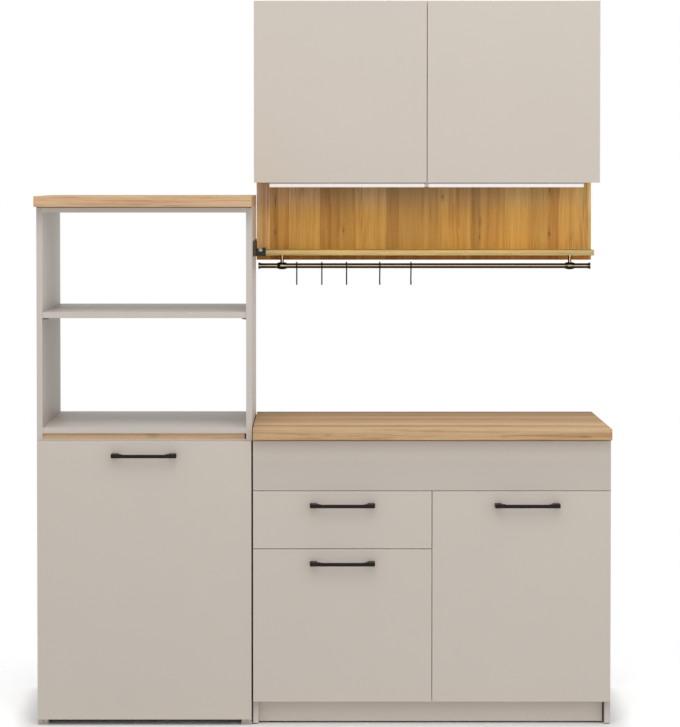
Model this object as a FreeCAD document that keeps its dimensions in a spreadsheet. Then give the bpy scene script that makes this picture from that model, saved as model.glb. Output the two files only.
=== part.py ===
import FreeCAD, Part
import math
import os
import Sketcher
from FreeCAD import Rotation, Vector

# Kitchenette: tall housing with open shelves, base unit with worktop, wall unit,
# niche panel with shelf and utensil rail.  Millimetres, +Z up, front towards -Y,
# origin on the floor under the middle of the overall box.

os.makedirs("parts", exist_ok=True)
doc = FreeCAD.newDocument("kitchenette")

# ---------------------------------------------------------------- driving sizes
CELLS = [
    # frame: left plane of the tall unit is x = 0 in plan, the wall is depth 0
    ("mid_x", 799.0, "plan x of the frame origin"),
    ("wall_y", 306.5, "row y of the wall plane"),
    ("board", 16.0, "laminated chipboard"),
    ("front_t", 16.0, "door and drawer front"),
    ("bump", 2.0, "gap behind a door"),
    ("hdf", 3.0, "thin back sheet"),
    # tall unit
    ("tall_w", 600.0, "tall unit width"),
    ("carc_d", 560.0, "carcass depth from the wall"),
    ("tall_z_foot", 4.0, "underside of the tall sides"),
    ("tall_z_bot", 16.0, "underside of the tall bottom panel and door"),
    ("tall_door_top", 794.0, "top of the tall door"),
    ("deck_z", 783.0, "housing top panel"),
    ("cover_z", 799.0, "oak cover board"),
    ("lower_z", 815.0, "lower shelf"),
    ("middle_z", 1137.0, "middle shelf"),
    ("toppan_z", 1431.0, "hutch top panel"),
    ("oaktop_z", 1447.0, "oak top board"),
    ("oaktop_t", 30.0, "oak top thickness"),
    ("oaktop_over", 4.0, "oak top overhang on the left"),
    ("top_depth", 600.0, "depth of oak top and worktop"),
    ("cover_gap", 4.0, "open joint at the right end of the cover board"),
    ("cover_back", 6.0, "cover board behind the shelf's front edge"),
    # base unit
    ("base_x", 602.0, "left plane of the base unit"),
    ("base_w", 1000.0, "base unit width"),
    ("wtop_x", 603.0, "left end of the worktop"),
    ("wtop_w", 998.5, "worktop width"),
    ("wtop_z", 799.0, "underside of the worktop"),
    ("wtop_t", 31.0, "worktop thickness"),
    ("base_foot", 3.0, "underside of the base sides"),
    ("base_bot_z", 68.0, "base bottom panel"),
    ("front_z", 66.0, "lower edge of the base doors"),
    ("ldoor_top", 493.0, "top of the lower left door"),
    ("drawer_z", 495.0, "lower edge of the drawer front"),
    ("fronts_top", 655.0, "top of drawer front and right door"),
    ("fascia_z", 657.0, "lower edge of the fascia"),
    ("fascia_top", 795.0, "top edge of the fascia"),
    ("inset", 1.5, "front inset from the carcass side"),
    ("col_gap", 2.0, "gap between two fronts side by side"),
    ("plinth_d", 524.0, "back of the plinth"),
    ("plinth_gap", 5.0, "open joint at the right end of the plinth"),
    ("plinth_z", 5.0, "underside of the plinth"),
    ("shelf_z", 357.0, "base shelf"),
    # wall unit
    ("wall_x", 600.0, "left plane of the wall unit"),
    ("wall_w", 996.0, "wall unit width"),
    ("wall_d", 282.0, "wall unit carcass depth"),
    ("wall_z", 1515.0, "underside of the wall unit"),
    ("wall_top_z", 2037.0, "top of the wall unit"),
    ("wdoor_z", 1514.0, "lower edge of the wall doors"),
    ("wdoor_top", 2036.0, "top edge of the wall doors"),
    ("winset", 1.0, "wall door inset"),
    ("wshelf_z", 1765.0, "wall unit shelf"),
    ("back_gap", 16.0, "space for the hanging rail behind the wall unit's back"),
    ("hang_pitch", 800.0, "distance between the two wall screw holes"),
    ("hang_hole", 3.5, "radius of the wall screw holes"),
    # hinges
    ("axis_in", 4.0, "hinge axis from the door's hinge edge"),
    ("cup_in", 22.5, "cup centre from the door's hinge edge"),
    ("cup_rad", 17.4, "cup outer radius"),
    ("cup_deep", 11.6, "cup depth in the door"),
    ("cup_fit", 0.2, "room round the cup"),
    ("plate_back", 37.0, "mounting plate screws from the carcass front"),
    ("plate_pitch", 32.0, "mounting plate screw distance"),
    ("tall_h_lo", 120.0, "tall door lower hinge height"),
    ("tall_h_hi", 694.0, "tall door upper hinge height"),
    ("base_h_lo", 149.0, "base door lower hinge height"),
    ("ldoor_h_hi", 415.0, "left base door upper hinge height"),
    ("rdoor_h_hi", 575.0, "right base door upper hinge height"),
    ("wall_h_lo", 1594.0, "wall door lower hinge height"),
    ("wall_h_hi", 1956.0, "wall door upper hinge height"),
    # handles
    ("grip_len", 181.0, "handle length"),
    ("grip_pitch", 160.0, "handle screw distance"),
    ("grip_proj", 35.0, "handle projection"),
    ("grip_thick", 9.0, "bar thickness front to back"),
    ("grip_end", 27.0, "length of the raised ends"),
    ("grip_tall", 10.8, "height of the raised ends"),
    ("grip_bar", 9.2, "height of the bar"),
    ("grip_leg", 20.0, "leg width along the bar"),
    ("grip_down", 43.5, "handle underside below the front's top edge"),
    # drawer
    ("run_w", 12.7, "runner width"),
    ("dside_t", 12.0, "drawer side thickness"),
    ("dbox_d", 102.0, "back of the drawer box"),
    ("dbox_z", 519.0, "underside of the drawer sides"),
    ("dbox_tall", 100.0, "drawer side height"),
    ("run_len", 450.0, "runner length"),
    ("run_d", 106.0, "back end of the runners"),
    ("run_z", 545.0, "underside of the runners"),
    ("run_tall", 45.0, "runner height"),
    ("sheet_t", 1.2, "runner sheet thickness"),
    # niche
    ("niche_x", 602.0, "left end of the niche panel"),
    ("niche_w", 995.0, "niche panel width"),
    ("niche_z", 1284.0, "niche panel lower edge"),
    ("niche_top", 1515.0, "niche panel upper edge"),
    ("nshelf_z", 1299.5, "niche shelf underside"),
    ("nshelf_d", 113.0, "niche shelf front from the wall"),
    ("nshelf_x", 606.0, "niche shelf left end"),
    # utensil rail
    ("rail_rad", 7.5, "rail tube radius"),
    ("rail_in", 6.5, "rail tube inner radius"),
    ("rail_x", 617.0, "left end of the rail tube"),
    ("rail_len", 963.0, "rail tube length"),
    ("rail_d", 85.0, "rail axis from the wall"),
    ("rail_z", 1268.5, "rail axis height"),
    ("post_a", 678.5, "left post"),
    ("post_b", 1527.5, "right post"),
    ("collar_half", 14.0, "half the collar length"),
    ("collar_rad", 11.0, "collar radius"),
    ("cap_rad", 9.5, "rail end cap radius"),
    # hooks
    ("hook_rad", 9.9, "hook wire centre radius"),
    ("wire_rad", 2.0, "hook wire radius"),
    ("hook_pitch", 45.4, "distance between the two bends of a hook"),
    ("hook_a", 722.0, "hook place 1"),
    ("hook_b", 796.0, "hook place 2"),
    ("hook_c", 869.0, "hook place 3"),
    ("hook_d", 967.0, "hook place 4"),
    ("hook_e", 1059.0, "hook place 5"),
    # light bars
    ("led_x", 644.0, "left bar start"),
    ("led_len", 448.0, "bar length"),
    ("led_gap", 11.0, "gap between the bars"),
    ("led_d", 262.0, "back of the bars"),
    ("led_w", 18.0, "bar depth"),
    ("led_t", 4.5, "housing height"),
    ("led_lens", 10.0, "diffuser height"),
    # shelf pins
    ("pin_rad", 2.4, "pin radius in the panel"),
    ("pin_head", 3.4, "pin radius under the shelf"),
    ("pin_deep", 8.0, "pin depth in the panel"),
]

sheet = doc.addObject("Spreadsheet::Sheet", "Dims")
for n, (alias, value, note) in enumerate(CELLS, start=1):
    sheet.set("A%d" % n, note)
    sheet.set("B%d" % n, str(value))
    sheet.setAlias("B%d" % n, alias)
doc.recompute()


class Q:
    """A number together with the sheet expression that gives it."""

    def __init__(self, v, e):
        self.v = float(v)
        self.e = e

    @staticmethod
    def of(o):
        return o if isinstance(o, Q) else Q(o, repr(float(o)))

    def __add__(self, o):
        o = Q.of(o)
        return Q(self.v + o.v, "(%s + %s)" % (self.e, o.e))

    def __radd__(self, o):
        return Q.of(o) + self

    def __sub__(self, o):
        o = Q.of(o)
        return Q(self.v - o.v, "(%s - %s)" % (self.e, o.e))

    def __rsub__(self, o):
        return Q.of(o) - self

    def __mul__(self, o):
        o = Q.of(o)
        return Q(self.v * o.v, "(%s * %s)" % (self.e, o.e))

    def __rmul__(self, o):
        return Q.of(o) * self

    def __truediv__(self, o):
        o = Q.of(o)
        return Q(self.v / o.v, "(%s / %s)" % (self.e, o.e))


class Names:
    pass


P = Names()
for alias, value, note in CELLS:
    setattr(P, alias, Q(value, "Dims." + alias))


def X(q):
    return Q.of(q) - P.mid_x


def Y(depth):
    return P.wall_y - depth


def bind(obj, prop, q):
    obj.setExpression(prop, Q.of(q).e)


def place(obj, x, y, z, rot=None):
    if rot is not None:
        obj.Placement = FreeCAD.Placement(Vector(0, 0, 0), rot)
    bind(obj, "Placement.Base.x", x)
    bind(obj, "Placement.Base.y", y)
    bind(obj, "Placement.Base.z", z)


count = [0]


def fresh(kind, prefix):
    count[0] += 1
    o = doc.addObject(kind, "%s_%03d" % (prefix, count[0]))
    return o


# ---------------------------------------------------------------- primitives
def box(x, d, z, lx, ly, lz, label=None):
    """A box given by plan x, depth from the wall, height, and its three sizes."""
    b = fresh("Part::Box", "board")
    bind(b, "Length", lx)
    bind(b, "Width", ly)
    bind(b, "Height", lz)
    place(b, X(x), Y(Q.of(d) + ly), z)
    if label:
        b.Label = label
    return b


ALONG = {
    "x": Rotation(Vector(0, 1, 0), 90),
    "-x": Rotation(Vector(0, 1, 0), -90),
    "y": Rotation(Vector(1, 0, 0), -90),
    "-y": Rotation(Vector(1, 0, 0), 90),
    "z": Rotation(),
    "-z": Rotation(Vector(1, 0, 0), 180),
}


def cyl(x, d, z, r, length, along):
    """A cylinder that starts at plan x, depth d, height z."""
    c = fresh("Part::Cylinder", "round")
    bind(c, "Radius", r)
    bind(c, "Height", length)
    place(c, X(x), Y(d), z, ALONG[along])
    return c


def cone(x, d, z, r1, r2, length, along):
    c = fresh("Part::Cone", "taper")
    bind(c, "Radius1", r1)
    bind(c, "Radius2", r2)
    bind(c, "Height", length)
    place(c, X(x), Y(d), z, ALONG[along])
    return c


def fuse(items, label=None):
    if len(items) == 1:
        o = items[0]
    else:
        o = fresh("Part::MultiFuse", "joined")
        o.Shapes = items
    if label:
        o.Label = label
    return o


def group(items, label=None):
    o = fresh("Part::Compound", "set")
    o.Links = items
    if label:
        o.Label = label
    return o


def cut(base, tools, label=None):
    o = fresh("Part::Cut", "bored")
    o.Base = base
    o.Tool = tools[0] if len(tools) == 1 else group(tools)
    if label:
        o.Label = label
    return o


# ---------------------------------------------------------------- sketch bodies
def body(label):
    b = fresh("PartDesign::Body", "body")
    b.Label = label
    return b


def sketch(b, role, name):
    count[0] += 1
    sk = b.newObject("Sketcher::SketchObject", "%s_%03d" % (name, count[0]))
    plane = [f for f in b.Origin.OriginFeatures if f.Role == role][0]
    sk.AttachmentSupport = [(plane, "")]
    sk.MapMode = "FlatFace"
    return sk


def datum(sk, kind, args, q, name):
    q = Q.of(q)
    c = sk.addConstraint(Sketcher.Constraint(kind, *args, q.v))
    sk.renameConstraint(c, name)
    sk.setExpression("Constraints." + name, q.e)


def pin_point(sk, geo, pos, x, y, name):
    """Fix a sketch point at x, y; zero means on the axis."""
    x, y = Q.of(x), Q.of(y)
    if abs(x.v) < 1e-9:
        sk.addConstraint(Sketcher.Constraint("PointOnObject", geo, pos, -2))
    else:
        datum(sk, "DistanceX", (-1, 1, geo, pos), x, name + "_px")
    if abs(y.v) < 1e-9:
        sk.addConstraint(Sketcher.Constraint("PointOnObject", geo, pos, -1))
    else:
        datum(sk, "DistanceY", (-1, 1, geo, pos), y, name + "_py")


def poly(sk, pts, name):
    """A closed outline whose every corner is bound to the sheet."""
    pts = [(Q.of(a), Q.of(b)) for a, b in pts]
    first = sk.GeometryCount
    n = len(pts)
    for i in range(n):
        a, b = pts[i], pts[(i + 1) % n]
        sk.addGeometry(
            Part.LineSegment(Vector(a[0].v, a[1].v, 0), Vector(b[0].v, b[1].v, 0)), False
        )
    for i in range(n):
        sk.addConstraint(
            Sketcher.Constraint("Coincident", first + i, 2, first + (i + 1) % n, 1)
        )
    for i in range(n):
        pin_point(sk, first + i, 1, pts[i][0], pts[i][1], "%s%d" % (name, i))


def rect(sk, x, y, w, tall, name):
    x, y = Q.of(x), Q.of(y)
    poly(sk, [(x, y), (x + w, y), (x + w, y + tall), (x, y + tall)], name)


def ring(sk, x, y, r, name):
    x, y, r = Q.of(x), Q.of(y), Q.of(r)
    g = sk.addGeometry(Part.Circle(Vector(x.v, y.v, 0), Vector(0, 0, 1), r.v), False)
    pin_point(sk, g, 3, x, y, name)
    datum(sk, "Radius", (g,), r, name + "_rad")


def pad(b, sk, length, name="pad"):
    count[0] += 1
    p = b.newObject("PartDesign::Pad", "%s_%03d" % (name, count[0]))
    p.Profile = sk
    bind(p, "Length", length)
    sk.Visibility = False
    return p


def pocket(b, sk, length, name="pocket", flip=True):
    doc.recompute()
    before = b.Shape.Volume
    count[0] += 1
    p = b.newObject("PartDesign::Pocket", "%s_%03d" % (name, count[0]))
    p.Profile = sk
    bind(p, "Length", length)
    p.Reversed = flip
    doc.recompute()
    assert b.Shape.Volume < before - 1.0, "pocket cut nothing in " + b.Label
    return p


def round_edges(b, base, pick, radius):
    doc.recompute()
    names = []
    for i, e in enumerate(base.Shape.Edges, start=1):
        if pick(e):
            names.append("Edge%d" % i)
    assert names, "no edges to round in " + b.Label
    count[0] += 1
    f = b.newObject("PartDesign::Fillet", "fillet_%03d" % count[0])
    f.Base = (base, names)
    f.Radius = radius
    doc.recompute()
    return f


def edge_in_plane(e, axis, value):
    return all(abs(getattr(v.Point, axis) - value) < 1e-4 for v in e.Vertexes)


nodes = []


def keep(o, name=None):
    if name:
        o.Label = name
    nodes.append(o)
    return o


# ---------------------------------------------------------------- hinges
holes = {}  # side panel -> list of hole cylinders
arms = []


def hinge_arm(panel, face, sign, front, z):
    """Cabinet half of a concealed hinge on the panel's inner face at plan x = face.
    sign is +1 where the inside of the cabinet is to the right of the panel."""
    along = "x" if sign > 0 else "-x"

    def bx(a, b, d0, d1, z0, z1):
        lo = face + a if sign > 0 else face - b
        return box(lo, d0, z + z0, Q.of(b) - a, Q.of(d1) - d0, Q.of(z1) - z0)

    mid = Q.of(front) - P.plate_back
    plate = bx(0, 2.5, mid - 9, mid + 9, -22, 22)
    saddle = bx(2.5, 6.0, mid - 24, mid + 17, -8.5, 8.5)
    arm = bx(5.0, 12.0, mid - 33, mid + 26, -6.5, 6.5)
    nose = bx(5.5, 13.5, mid + 24, Q.of(front) - 0.8, -5.0, 5.0)
    solid = fuse([plate, saddle, arm, nose])
    bores = []
    for s in (-0.5, 0.5):
        zz = z + P.plate_pitch * s
        start = face - 11.0 if sign > 0 else face + 11.0
        bores.append(cyl(start, mid, zz, 2.5, 16.0, along))
        holes.setdefault(panel, []).append(cyl(start - 1.0 * sign, mid, zz, 2.5, 13.0, along))
        shaft = cyl(start, mid, zz, 2.3, 13.6, along)
        head = cyl(face + 2.5 * sign, mid, zz, 3.8, 1.6, along)
        arms.append(fuse([shaft, head]))
    arms.append(cut(solid, bores))


def hinge_cup(edge, sign, back, z):
    """Door half: cup, flange and the stub of the links. edge is the hinge edge,
    back the depth of the door's back face."""
    cx = edge + P.cup_in * sign
    shell = cyl(cx, back, z, P.cup_rad, P.cup_deep - 0.2, "-y")
    well = cyl(cx, Q.of(back) - 2.0, z, P.cup_rad - 1.4, P.cup_deep + 0.6, "-y")
    cup = cut(shell, [well])
    flange = box(cx - 9.0, Q.of(back) - 0.8, z - 26.0, 18.0, 0.8, 52.0)
    open_flange = cut(flange, [cyl(cx, Q.of(back) - 2.0, z, P.cup_rad - 1.4, 4.0, "-y")])
    stub = box(cx - 4.5, Q.of(back) - 1.0, z - 4.5, 9.0, P.cup_deep + 0.2, 9.0)
    return fuse([cup, open_flange, stub])


# ---------------------------------------------------------------- shelf pins
pins = []


def pin(panel, face, sign, d, shelf_z):
    along = "x" if sign > 0 else "-x"
    zz = Q.of(shelf_z) - 3.5
    start = face - P.pin_deep if sign > 0 else face + P.pin_deep
    holes.setdefault(panel, []).append(cyl(start - 0.4 * sign, d, zz, P.pin_rad + 0.15, P.pin_deep + 1.4, along))
    pins.append(fuse([
        cyl(start, d, zz, P.pin_rad, P.pin_deep + 0.5, along),
        cyl(face + 0.1 * sign, d, zz, P.pin_head, 7.0, along),
    ]))


# ---------------------------------------------------------------- fronts
def front_panel(label, x, z, w, tall, d_back, cups=(), cup_side=1, grip=None):
    """A door or drawer front; its back face is the sketch plane. cups are heights of
    the hinge cups, grip is the (plan x, z) of the handle's lower left corner."""
    b = body(label)
    sk = sketch(b, "XZ_Plane", "outline")
    rect(sk, 0, 0, w, tall, "o")
    p = pad(b, sk, P.front_t, "slab")
    place(b, X(x), Y(d_back), z)
    round_edges(b, p, lambda e: edge_in_plane(e, "y", -P.front_t.v), 1.0)
    if cups:
        sk = sketch(b, "XZ_Plane", "cups")
        for i, cz in enumerate(cups):
            cx = P.cup_in if cup_side > 0 else Q.of(w) - P.cup_in
            ring(sk, cx, cz - Q.of(z), P.cup_rad + P.cup_fit, "c%d" % i)
        pocket(b, sk, P.cup_deep, "cup_bore")
    if grip:
        sk = sketch(b, "XZ_Plane", "grip_holes")
        for i, s in enumerate((0.0, 1.0)):
            gx = Q.of(grip[0]) + (P.grip_len - P.grip_pitch) / 2 + P.grip_pitch * s - x
            ring(sk, gx, Q.of(grip[1]) + P.grip_bar / 2 - z, 2.2, "g%d" % i)
        pocket(b, sk, P.front_t + 0.5, "grip_bore")
    return keep(b)


def handle(label, x, z, d_face):
    """Bow handle with raised ends and its two screws; x, z is its lower left corner."""
    b = body(label + "_bow")
    sk = sketch(b, "XZ_Plane", "silhouette")
    t = 5.0
    poly(sk, [
        (0, 0), (P.grip_len, 0), (P.grip_len, P.grip_tall),
        (P.grip_len - P.grip_end, P.grip_tall),
        (P.grip_len - P.grip_end - t, P.grip_bar),
        (P.grip_end + t, P.grip_bar), (P.grip_end, P.grip_tall), (0, P.grip_tall),
    ], "s")
    p = pad(b, sk, P.grip_proj, "bow")
    place(b, X(x), Y(d_face), z)
    doc.recompute()
    f = round_edges(
        b, p,
        lambda e: edge_in_plane(e, "y", -P.grip_proj.v)
        or (abs(e.Vertexes[0].Point.y - e.Vertexes[-1].Point.y) > P.grip_proj.v - 1e-3
            and abs(e.Vertexes[0].Point.z - P.grip_tall.v) < 1e-3
            and min(e.Vertexes[0].Point.x, P.grip_len.v - e.Vertexes[0].Point.x) < 1e-3),
        1.0,
    )
    sk = sketch(b, "XY_Plane", "finger_gap")
    gap = P.grip_proj - P.grip_thick
    c = 5.0
    # the sketch lies on the bottom plane, its y runs to the wall
    poly(sk, [
        (P.grip_leg, 0.5), (P.grip_leg, 0 - (gap - c)), (P.grip_leg + c, 0 - gap),
        (P.grip_len - P.grip_leg - c, 0 - gap),
        (P.grip_len - P.grip_leg, 0 - (gap - c)), (P.grip_len - P.grip_leg, 0.5),
    ], "f")
    pocket(b, sk, P.grip_tall + 1.0, "gap")
    sk = sketch(b, "XZ_Plane", "threads")
    for i, s in enumerate((0.0, 1.0)):
        ring(sk, (P.grip_len - P.grip_pitch) / 2 + P.grip_pitch * s, P.grip_bar / 2, 1.9, "t%d" % i)
    pocket(b, sk, 20.0, "thread")
    screws = []
    for s in (0.0, 1.0):
        gx = Q.of(x) + (P.grip_len - P.grip_pitch) / 2 + P.grip_pitch * s
        gz = Q.of(z) + P.grip_bar / 2
        back = Q.of(d_face) - P.front_t
        shaft = cyl(gx, back - 0.5, gz, 1.75, P.front_t + 0.5 + 17.0, "-y")
        head = cyl(gx, back - 2.4, gz, 4.0, 2.4, "-y")
        screws.append(fuse([shaft, head]))
    return keep(group([b] + screws), label)


# ================================================================ tall unit
inner = P.tall_w - P.board * 2
door_face = P.carc_d + P.bump + P.front_t
door_back = P.carc_d + P.bump

keep(box(P.board, 0, P.toppan_z, inner, P.carc_d, P.board), "tall_top_panel")
keep(box(P.board + 0.5, 1.0, P.middle_z, inner - 1.0, P.carc_d - 1.0, P.board), "tall_middle_shelf")
keep(box(P.board, 0, P.lower_z, inner, P.carc_d, P.board), "tall_lower_shelf")
keep(box(P.board, 2.0, P.cover_z, inner - P.cover_gap, P.carc_d - 2.0 - P.cover_back, P.board), "tall_oak_cover")
keep(box(P.board, 0, P.deck_z, inner, P.carc_d - 1.0, P.board), "tall_housing_top")
keep(box(P.board, 0, P.tall_z_bot, inner, P.carc_d - 1.0, P.board), "tall_bottom")

b = body("tall_oak_top")
sk = sketch(b, "XY_Plane", "outline")
rect(sk, 0, 0, P.tall_w + P.oaktop_over, P.top_depth, "o")
p = pad(b, sk, P.oaktop_t, "slab")
place(b, X(Q.of(0) - P.oaktop_over), Y(P.top_depth), P.oaktop_z)
round_edges(b, p, lambda e: edge_in_plane(e, "y", 0.0) and abs(e.Vertexes[0].Point.z - e.Vertexes[-1].Point.z) < 1e-4, 1.5)
keep(b)

for d in (60.0, 500.0):
    pin("tall_side_left", P.board, 1, d, P.middle_z)
    pin("tall_side_right", P.tall_w - P.board, -1, d, P.middle_z)
for hz in (P.tall_h_lo, P.tall_h_hi):
    hinge_arm("tall_side_left", P.board, 1, P.carc_d, hz)

side_h = P.oaktop_z - P.tall_z_foot
tl = box(0, 0, P.tall_z_foot, P.board, P.carc_d, side_h)
tr = box(P.tall_w - P.board, 0, P.tall_z_foot, P.board, P.carc_d, side_h)

grip_z = P.tall_door_top - P.grip_down
grip_x = P.tall_w / 2 - P.grip_len / 2
front_panel("tall_door", P.inset, P.tall_z_bot, P.tall_w - P.inset * 2,
            P.tall_door_top - P.tall_z_bot, door_back,
            cups=(P.tall_h_lo, P.tall_h_hi), grip=(grip_x, grip_z))
handle("tall_handle", grip_x, grip_z, door_face)
keep(group([hinge_cup(P.inset, 1, door_back, z) for z in (P.tall_h_lo, P.tall_h_hi)]), "tall_hinge_cups")

# ================================================================ base unit
bx1 = P.base_x + P.base_w
b_in = P.base_w - P.board * 2
col_w = (P.base_w - P.inset * 2 - P.col_gap) / 2
mid = P.base_x + P.base_w / 2
div_x = mid - P.board / 2
rx = mid + P.col_gap / 2  # left edge of the right column's front

keep(box(P.base_x + P.board, P.hdf, P.base_bot_z, b_in, P.carc_d - P.hdf, P.board), "base_bottom")
base_back = box(P.base_x + 1.0, 0, P.base_bot_z, P.base_w - 2.0, P.hdf, P.wtop_z - P.base_bot_z - 1.0)
rail_top = P.wtop_z - P.board
keep(group([
    box(P.base_x + P.board, P.hdf, rail_top, b_in, 80.0, P.board),
    box(P.base_x + P.board, P.carc_d - 80.0, rail_top, b_in, 80.0, P.board),
]), "base_top_rails")
div_z = P.base_bot_z + P.board
dv = box(div_x, P.hdf, div_z, P.board, P.carc_d - P.hdf, rail_top - div_z)
keep(box(P.base_x + P.inset, P.carc_d, P.fascia_z, P.base_w - P.inset * 2, P.front_t, P.fascia_top - P.fascia_z), "base_fascia")
keep(box(P.base_x + P.board, P.plinth_d, P.plinth_z, b_in - P.plinth_gap, P.board, P.base_bot_z - 0.5 - P.plinth_z), "plinth")
shelf_w = b_in / 2 - P.board / 2 - 1.0
keep(box(div_x + P.board + 0.5, P.hdf + 1.0, P.shelf_z, shelf_w, 500.0, P.board), "base_shelf")
for d in (60.0, 460.0):
    pin("base_divider", div_x + P.board, 1, d, P.shelf_z)
    pin("base_side_right", bx1 - P.board, -1, d, P.shelf_z)

b = body("worktop")
sk = sketch(b, "XY_Plane", "outline")
rect(sk, 0, 0, P.wtop_w, P.top_depth, "o")
p = pad(b, sk, P.wtop_t, "slab")
place(b, X(P.wtop_x), Y(P.top_depth), P.wtop_z)
round_edges(b, p, lambda e: edge_in_plane(e, "y", 0.0) and abs(e.Vertexes[0].Point.z - e.Vertexes[-1].Point.z) < 1e-4, 2.5)
keep(b)

for hz in (P.base_h_lo, P.ldoor_h_hi):
    hinge_arm("base_side_left", P.base_x + P.board, 1, P.carc_d, hz)
for hz in (P.base_h_lo, P.rdoor_h_hi):
    hinge_arm("base_side_right", bx1 - P.board, -1, P.carc_d, hz)

bs_h = P.wtop_z - P.base_foot
bl = box(P.base_x, P.hdf, P.base_foot, P.board, P.carc_d - P.hdf, bs_h)
br = box(bx1 - P.board, P.hdf, P.base_foot, P.board, P.carc_d - P.hdf, bs_h)

lx = P.base_x + P.inset
gx = lx + col_w / 2 - P.grip_len / 2
gz = P.ldoor_top - P.grip_down
front_panel("base_door_left", lx, P.front_z, col_w, P.ldoor_top - P.front_z, door_back,
            cups=(P.base_h_lo, P.ldoor_h_hi), grip=(gx, gz))
handle("base_left_handle", gx, gz, door_face)
keep(group([hinge_cup(lx, 1, door_back, z) for z in (P.base_h_lo, P.ldoor_h_hi)]), "base_left_hinge_cups")

gxr = rx + col_w / 2 - P.grip_len / 2 + 15.0
gzr = P.fronts_top - P.grip_down
front_panel("base_door_right", rx, P.front_z, col_w, P.fronts_top - P.front_z, door_back,
            cups=(P.base_h_lo, P.rdoor_h_hi), cup_side=-1, grip=(gxr, gzr))
handle("base_right_handle", gxr, gzr, door_face)
keep(group([hinge_cup(rx + col_w, -1, door_back, z) for z in (P.base_h_lo, P.rdoor_h_hi)]), "base_right_hinge_cups")

# drawer
gzd = P.fronts_top - P.grip_down
front_panel("drawer_front", lx, P.drawer_z, col_w, P.fronts_top - P.drawer_z, door_back, grip=(gx, gzd))
handle("drawer_handle", gx, gzd, door_face)
col_l = P.base_x + P.board          # inner faces of the left column
col_r = div_x
ds_l = col_l + P.run_w + 0.3
ds_r = col_r - P.run_w - 0.3 - P.dside_t
d_len = door_back - P.dbox_d
groove_z = P.dbox_z + 8.0
side_parts = []
for x0, gx0 in ((ds_l, ds_l + P.dside_t - 6.0), (ds_r, ds_r - 1.0)):
    s0 = box(x0, P.dbox_d, P.dbox_z, P.dside_t, d_len, P.dbox_tall)
    g0 = box(gx0, P.dbox_d - 1.0, groove_z, 7.0, d_len + 2.0, 3.6)
    side_parts.append(cut(s0, [g0]))
in_w = ds_r - ds_l - P.dside_t
side_parts.append(box(ds_l + P.dside_t, P.dbox_d, groove_z + 3.6, in_w, P.dside_t, P.dbox_tall - 11.6))
keep(group(side_parts), "drawer_walls")
keep(box(ds_l + P.dside_t - 5.6, P.dbox_d + 1.0, groove_z + 0.3, in_w + 11.2, d_len - 1.0, P.hdf), "drawer_bottom")


# runners: three nested channels on each side of the drawer
def channel(pts, x, sign):
    """A channel cut from sheet; pts are (across, up) from the cabinet face."""
    b = body("channel_%d" % count[0])
    sk = sketch(b, "XZ_Plane", "section")
    poly(sk, [((Q.of(a) if sign > 0 else P.run_w - a), u) for a, u in pts], "p")
    pad(b, sk, P.run_len, "run")
    place(b, X(x), Y(P.run_d), P.run_z)
    return b


s = P.sheet_t
H = P.run_tall
outer = [(0, 0), (9.5, 0), (9.5, s), (s, s), (s, H - s), (9.5, H - s), (9.5, H), (0, H)]
midp = [(3.2, 3.5), (10.3, 3.5), (10.3, s + 3.5), (s + 3.2, s + 3.5), (s + 3.2, H - s - 3.5),
        (10.3, H - s - 3.5), (10.3, H - 3.5), (3.2, H - 3.5)]
innr = [(6.0, 7.0), (P.run_w, 7.0), (P.run_w, H - 7.0), (6.0, H - 7.0), (6.0, H - 7.0 - s),
        (P.run_w - s, H - 7.0 - s), (P.run_w - s, s + 7.0), (6.0, s + 7.0)]
for name, pts in (("runner_cabinet_members", outer), ("runner_middle_members", midp), ("runner_drawer_members", innr)):
    keep(group([channel(pts, col_l, 1), channel(pts, col_r - P.run_w, -1)]), name)

# ================================================================ wall unit
w_in = P.wall_w - P.board * 2
wx1 = P.wall_x + P.wall_w
w_back = P.wall_d + P.bump
w_h = P.wall_top_z - P.wall_z
keep(box(P.wall_x + P.board, 0, P.wall_top_z - P.board, w_in, P.wall_d, P.board), "wall_top")
keep(box(P.wall_x + P.board, 0, P.wall_z, w_in, P.wall_d, P.board), "wall_bottom")
keep(box(P.wall_x + P.board + 0.5, P.back_gap + P.hdf + 1.0, P.wshelf_z, w_in - 1.0, 240.0, P.board), "wall_shelf")
wb = box(P.wall_x + P.board, P.back_gap, P.wall_z + P.board, w_in, P.hdf, w_h - P.board * 2)
notch_z = P.wall_top_z - P.board - 75.0
wall_back = cut(wb, [
    box(P.wall_x + P.board - 1.0, P.back_gap - 1.0, notch_z, 27.0, P.hdf + 2.0, 80.0),
    box(wx1 - P.board - 26.0, P.back_gap - 1.0, notch_z, 27.0, P.hdf + 2.0, 80.0),
])
keep(group([base_back, wall_back]), "back_sheets")

for d in (50.0, 230.0):
    pin("wall_side_left", P.wall_x + P.board, 1, d, P.wshelf_z)
    pin("wall_side_right", wx1 - P.board, -1, d, P.wshelf_z)
for hz in (P.wall_h_lo, P.wall_h_hi):
    hinge_arm("wall_side_left", P.wall_x + P.board, 1, P.wall_d, hz)
    hinge_arm("wall_side_right", wx1 - P.board, -1, P.wall_d, hz)
wl = box(P.wall_x, 0, P.wall_z, P.board, P.wall_d, w_h)
wr = box(wx1 - P.board, 0, P.wall_z, P.board, P.wall_d, w_h)

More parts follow.
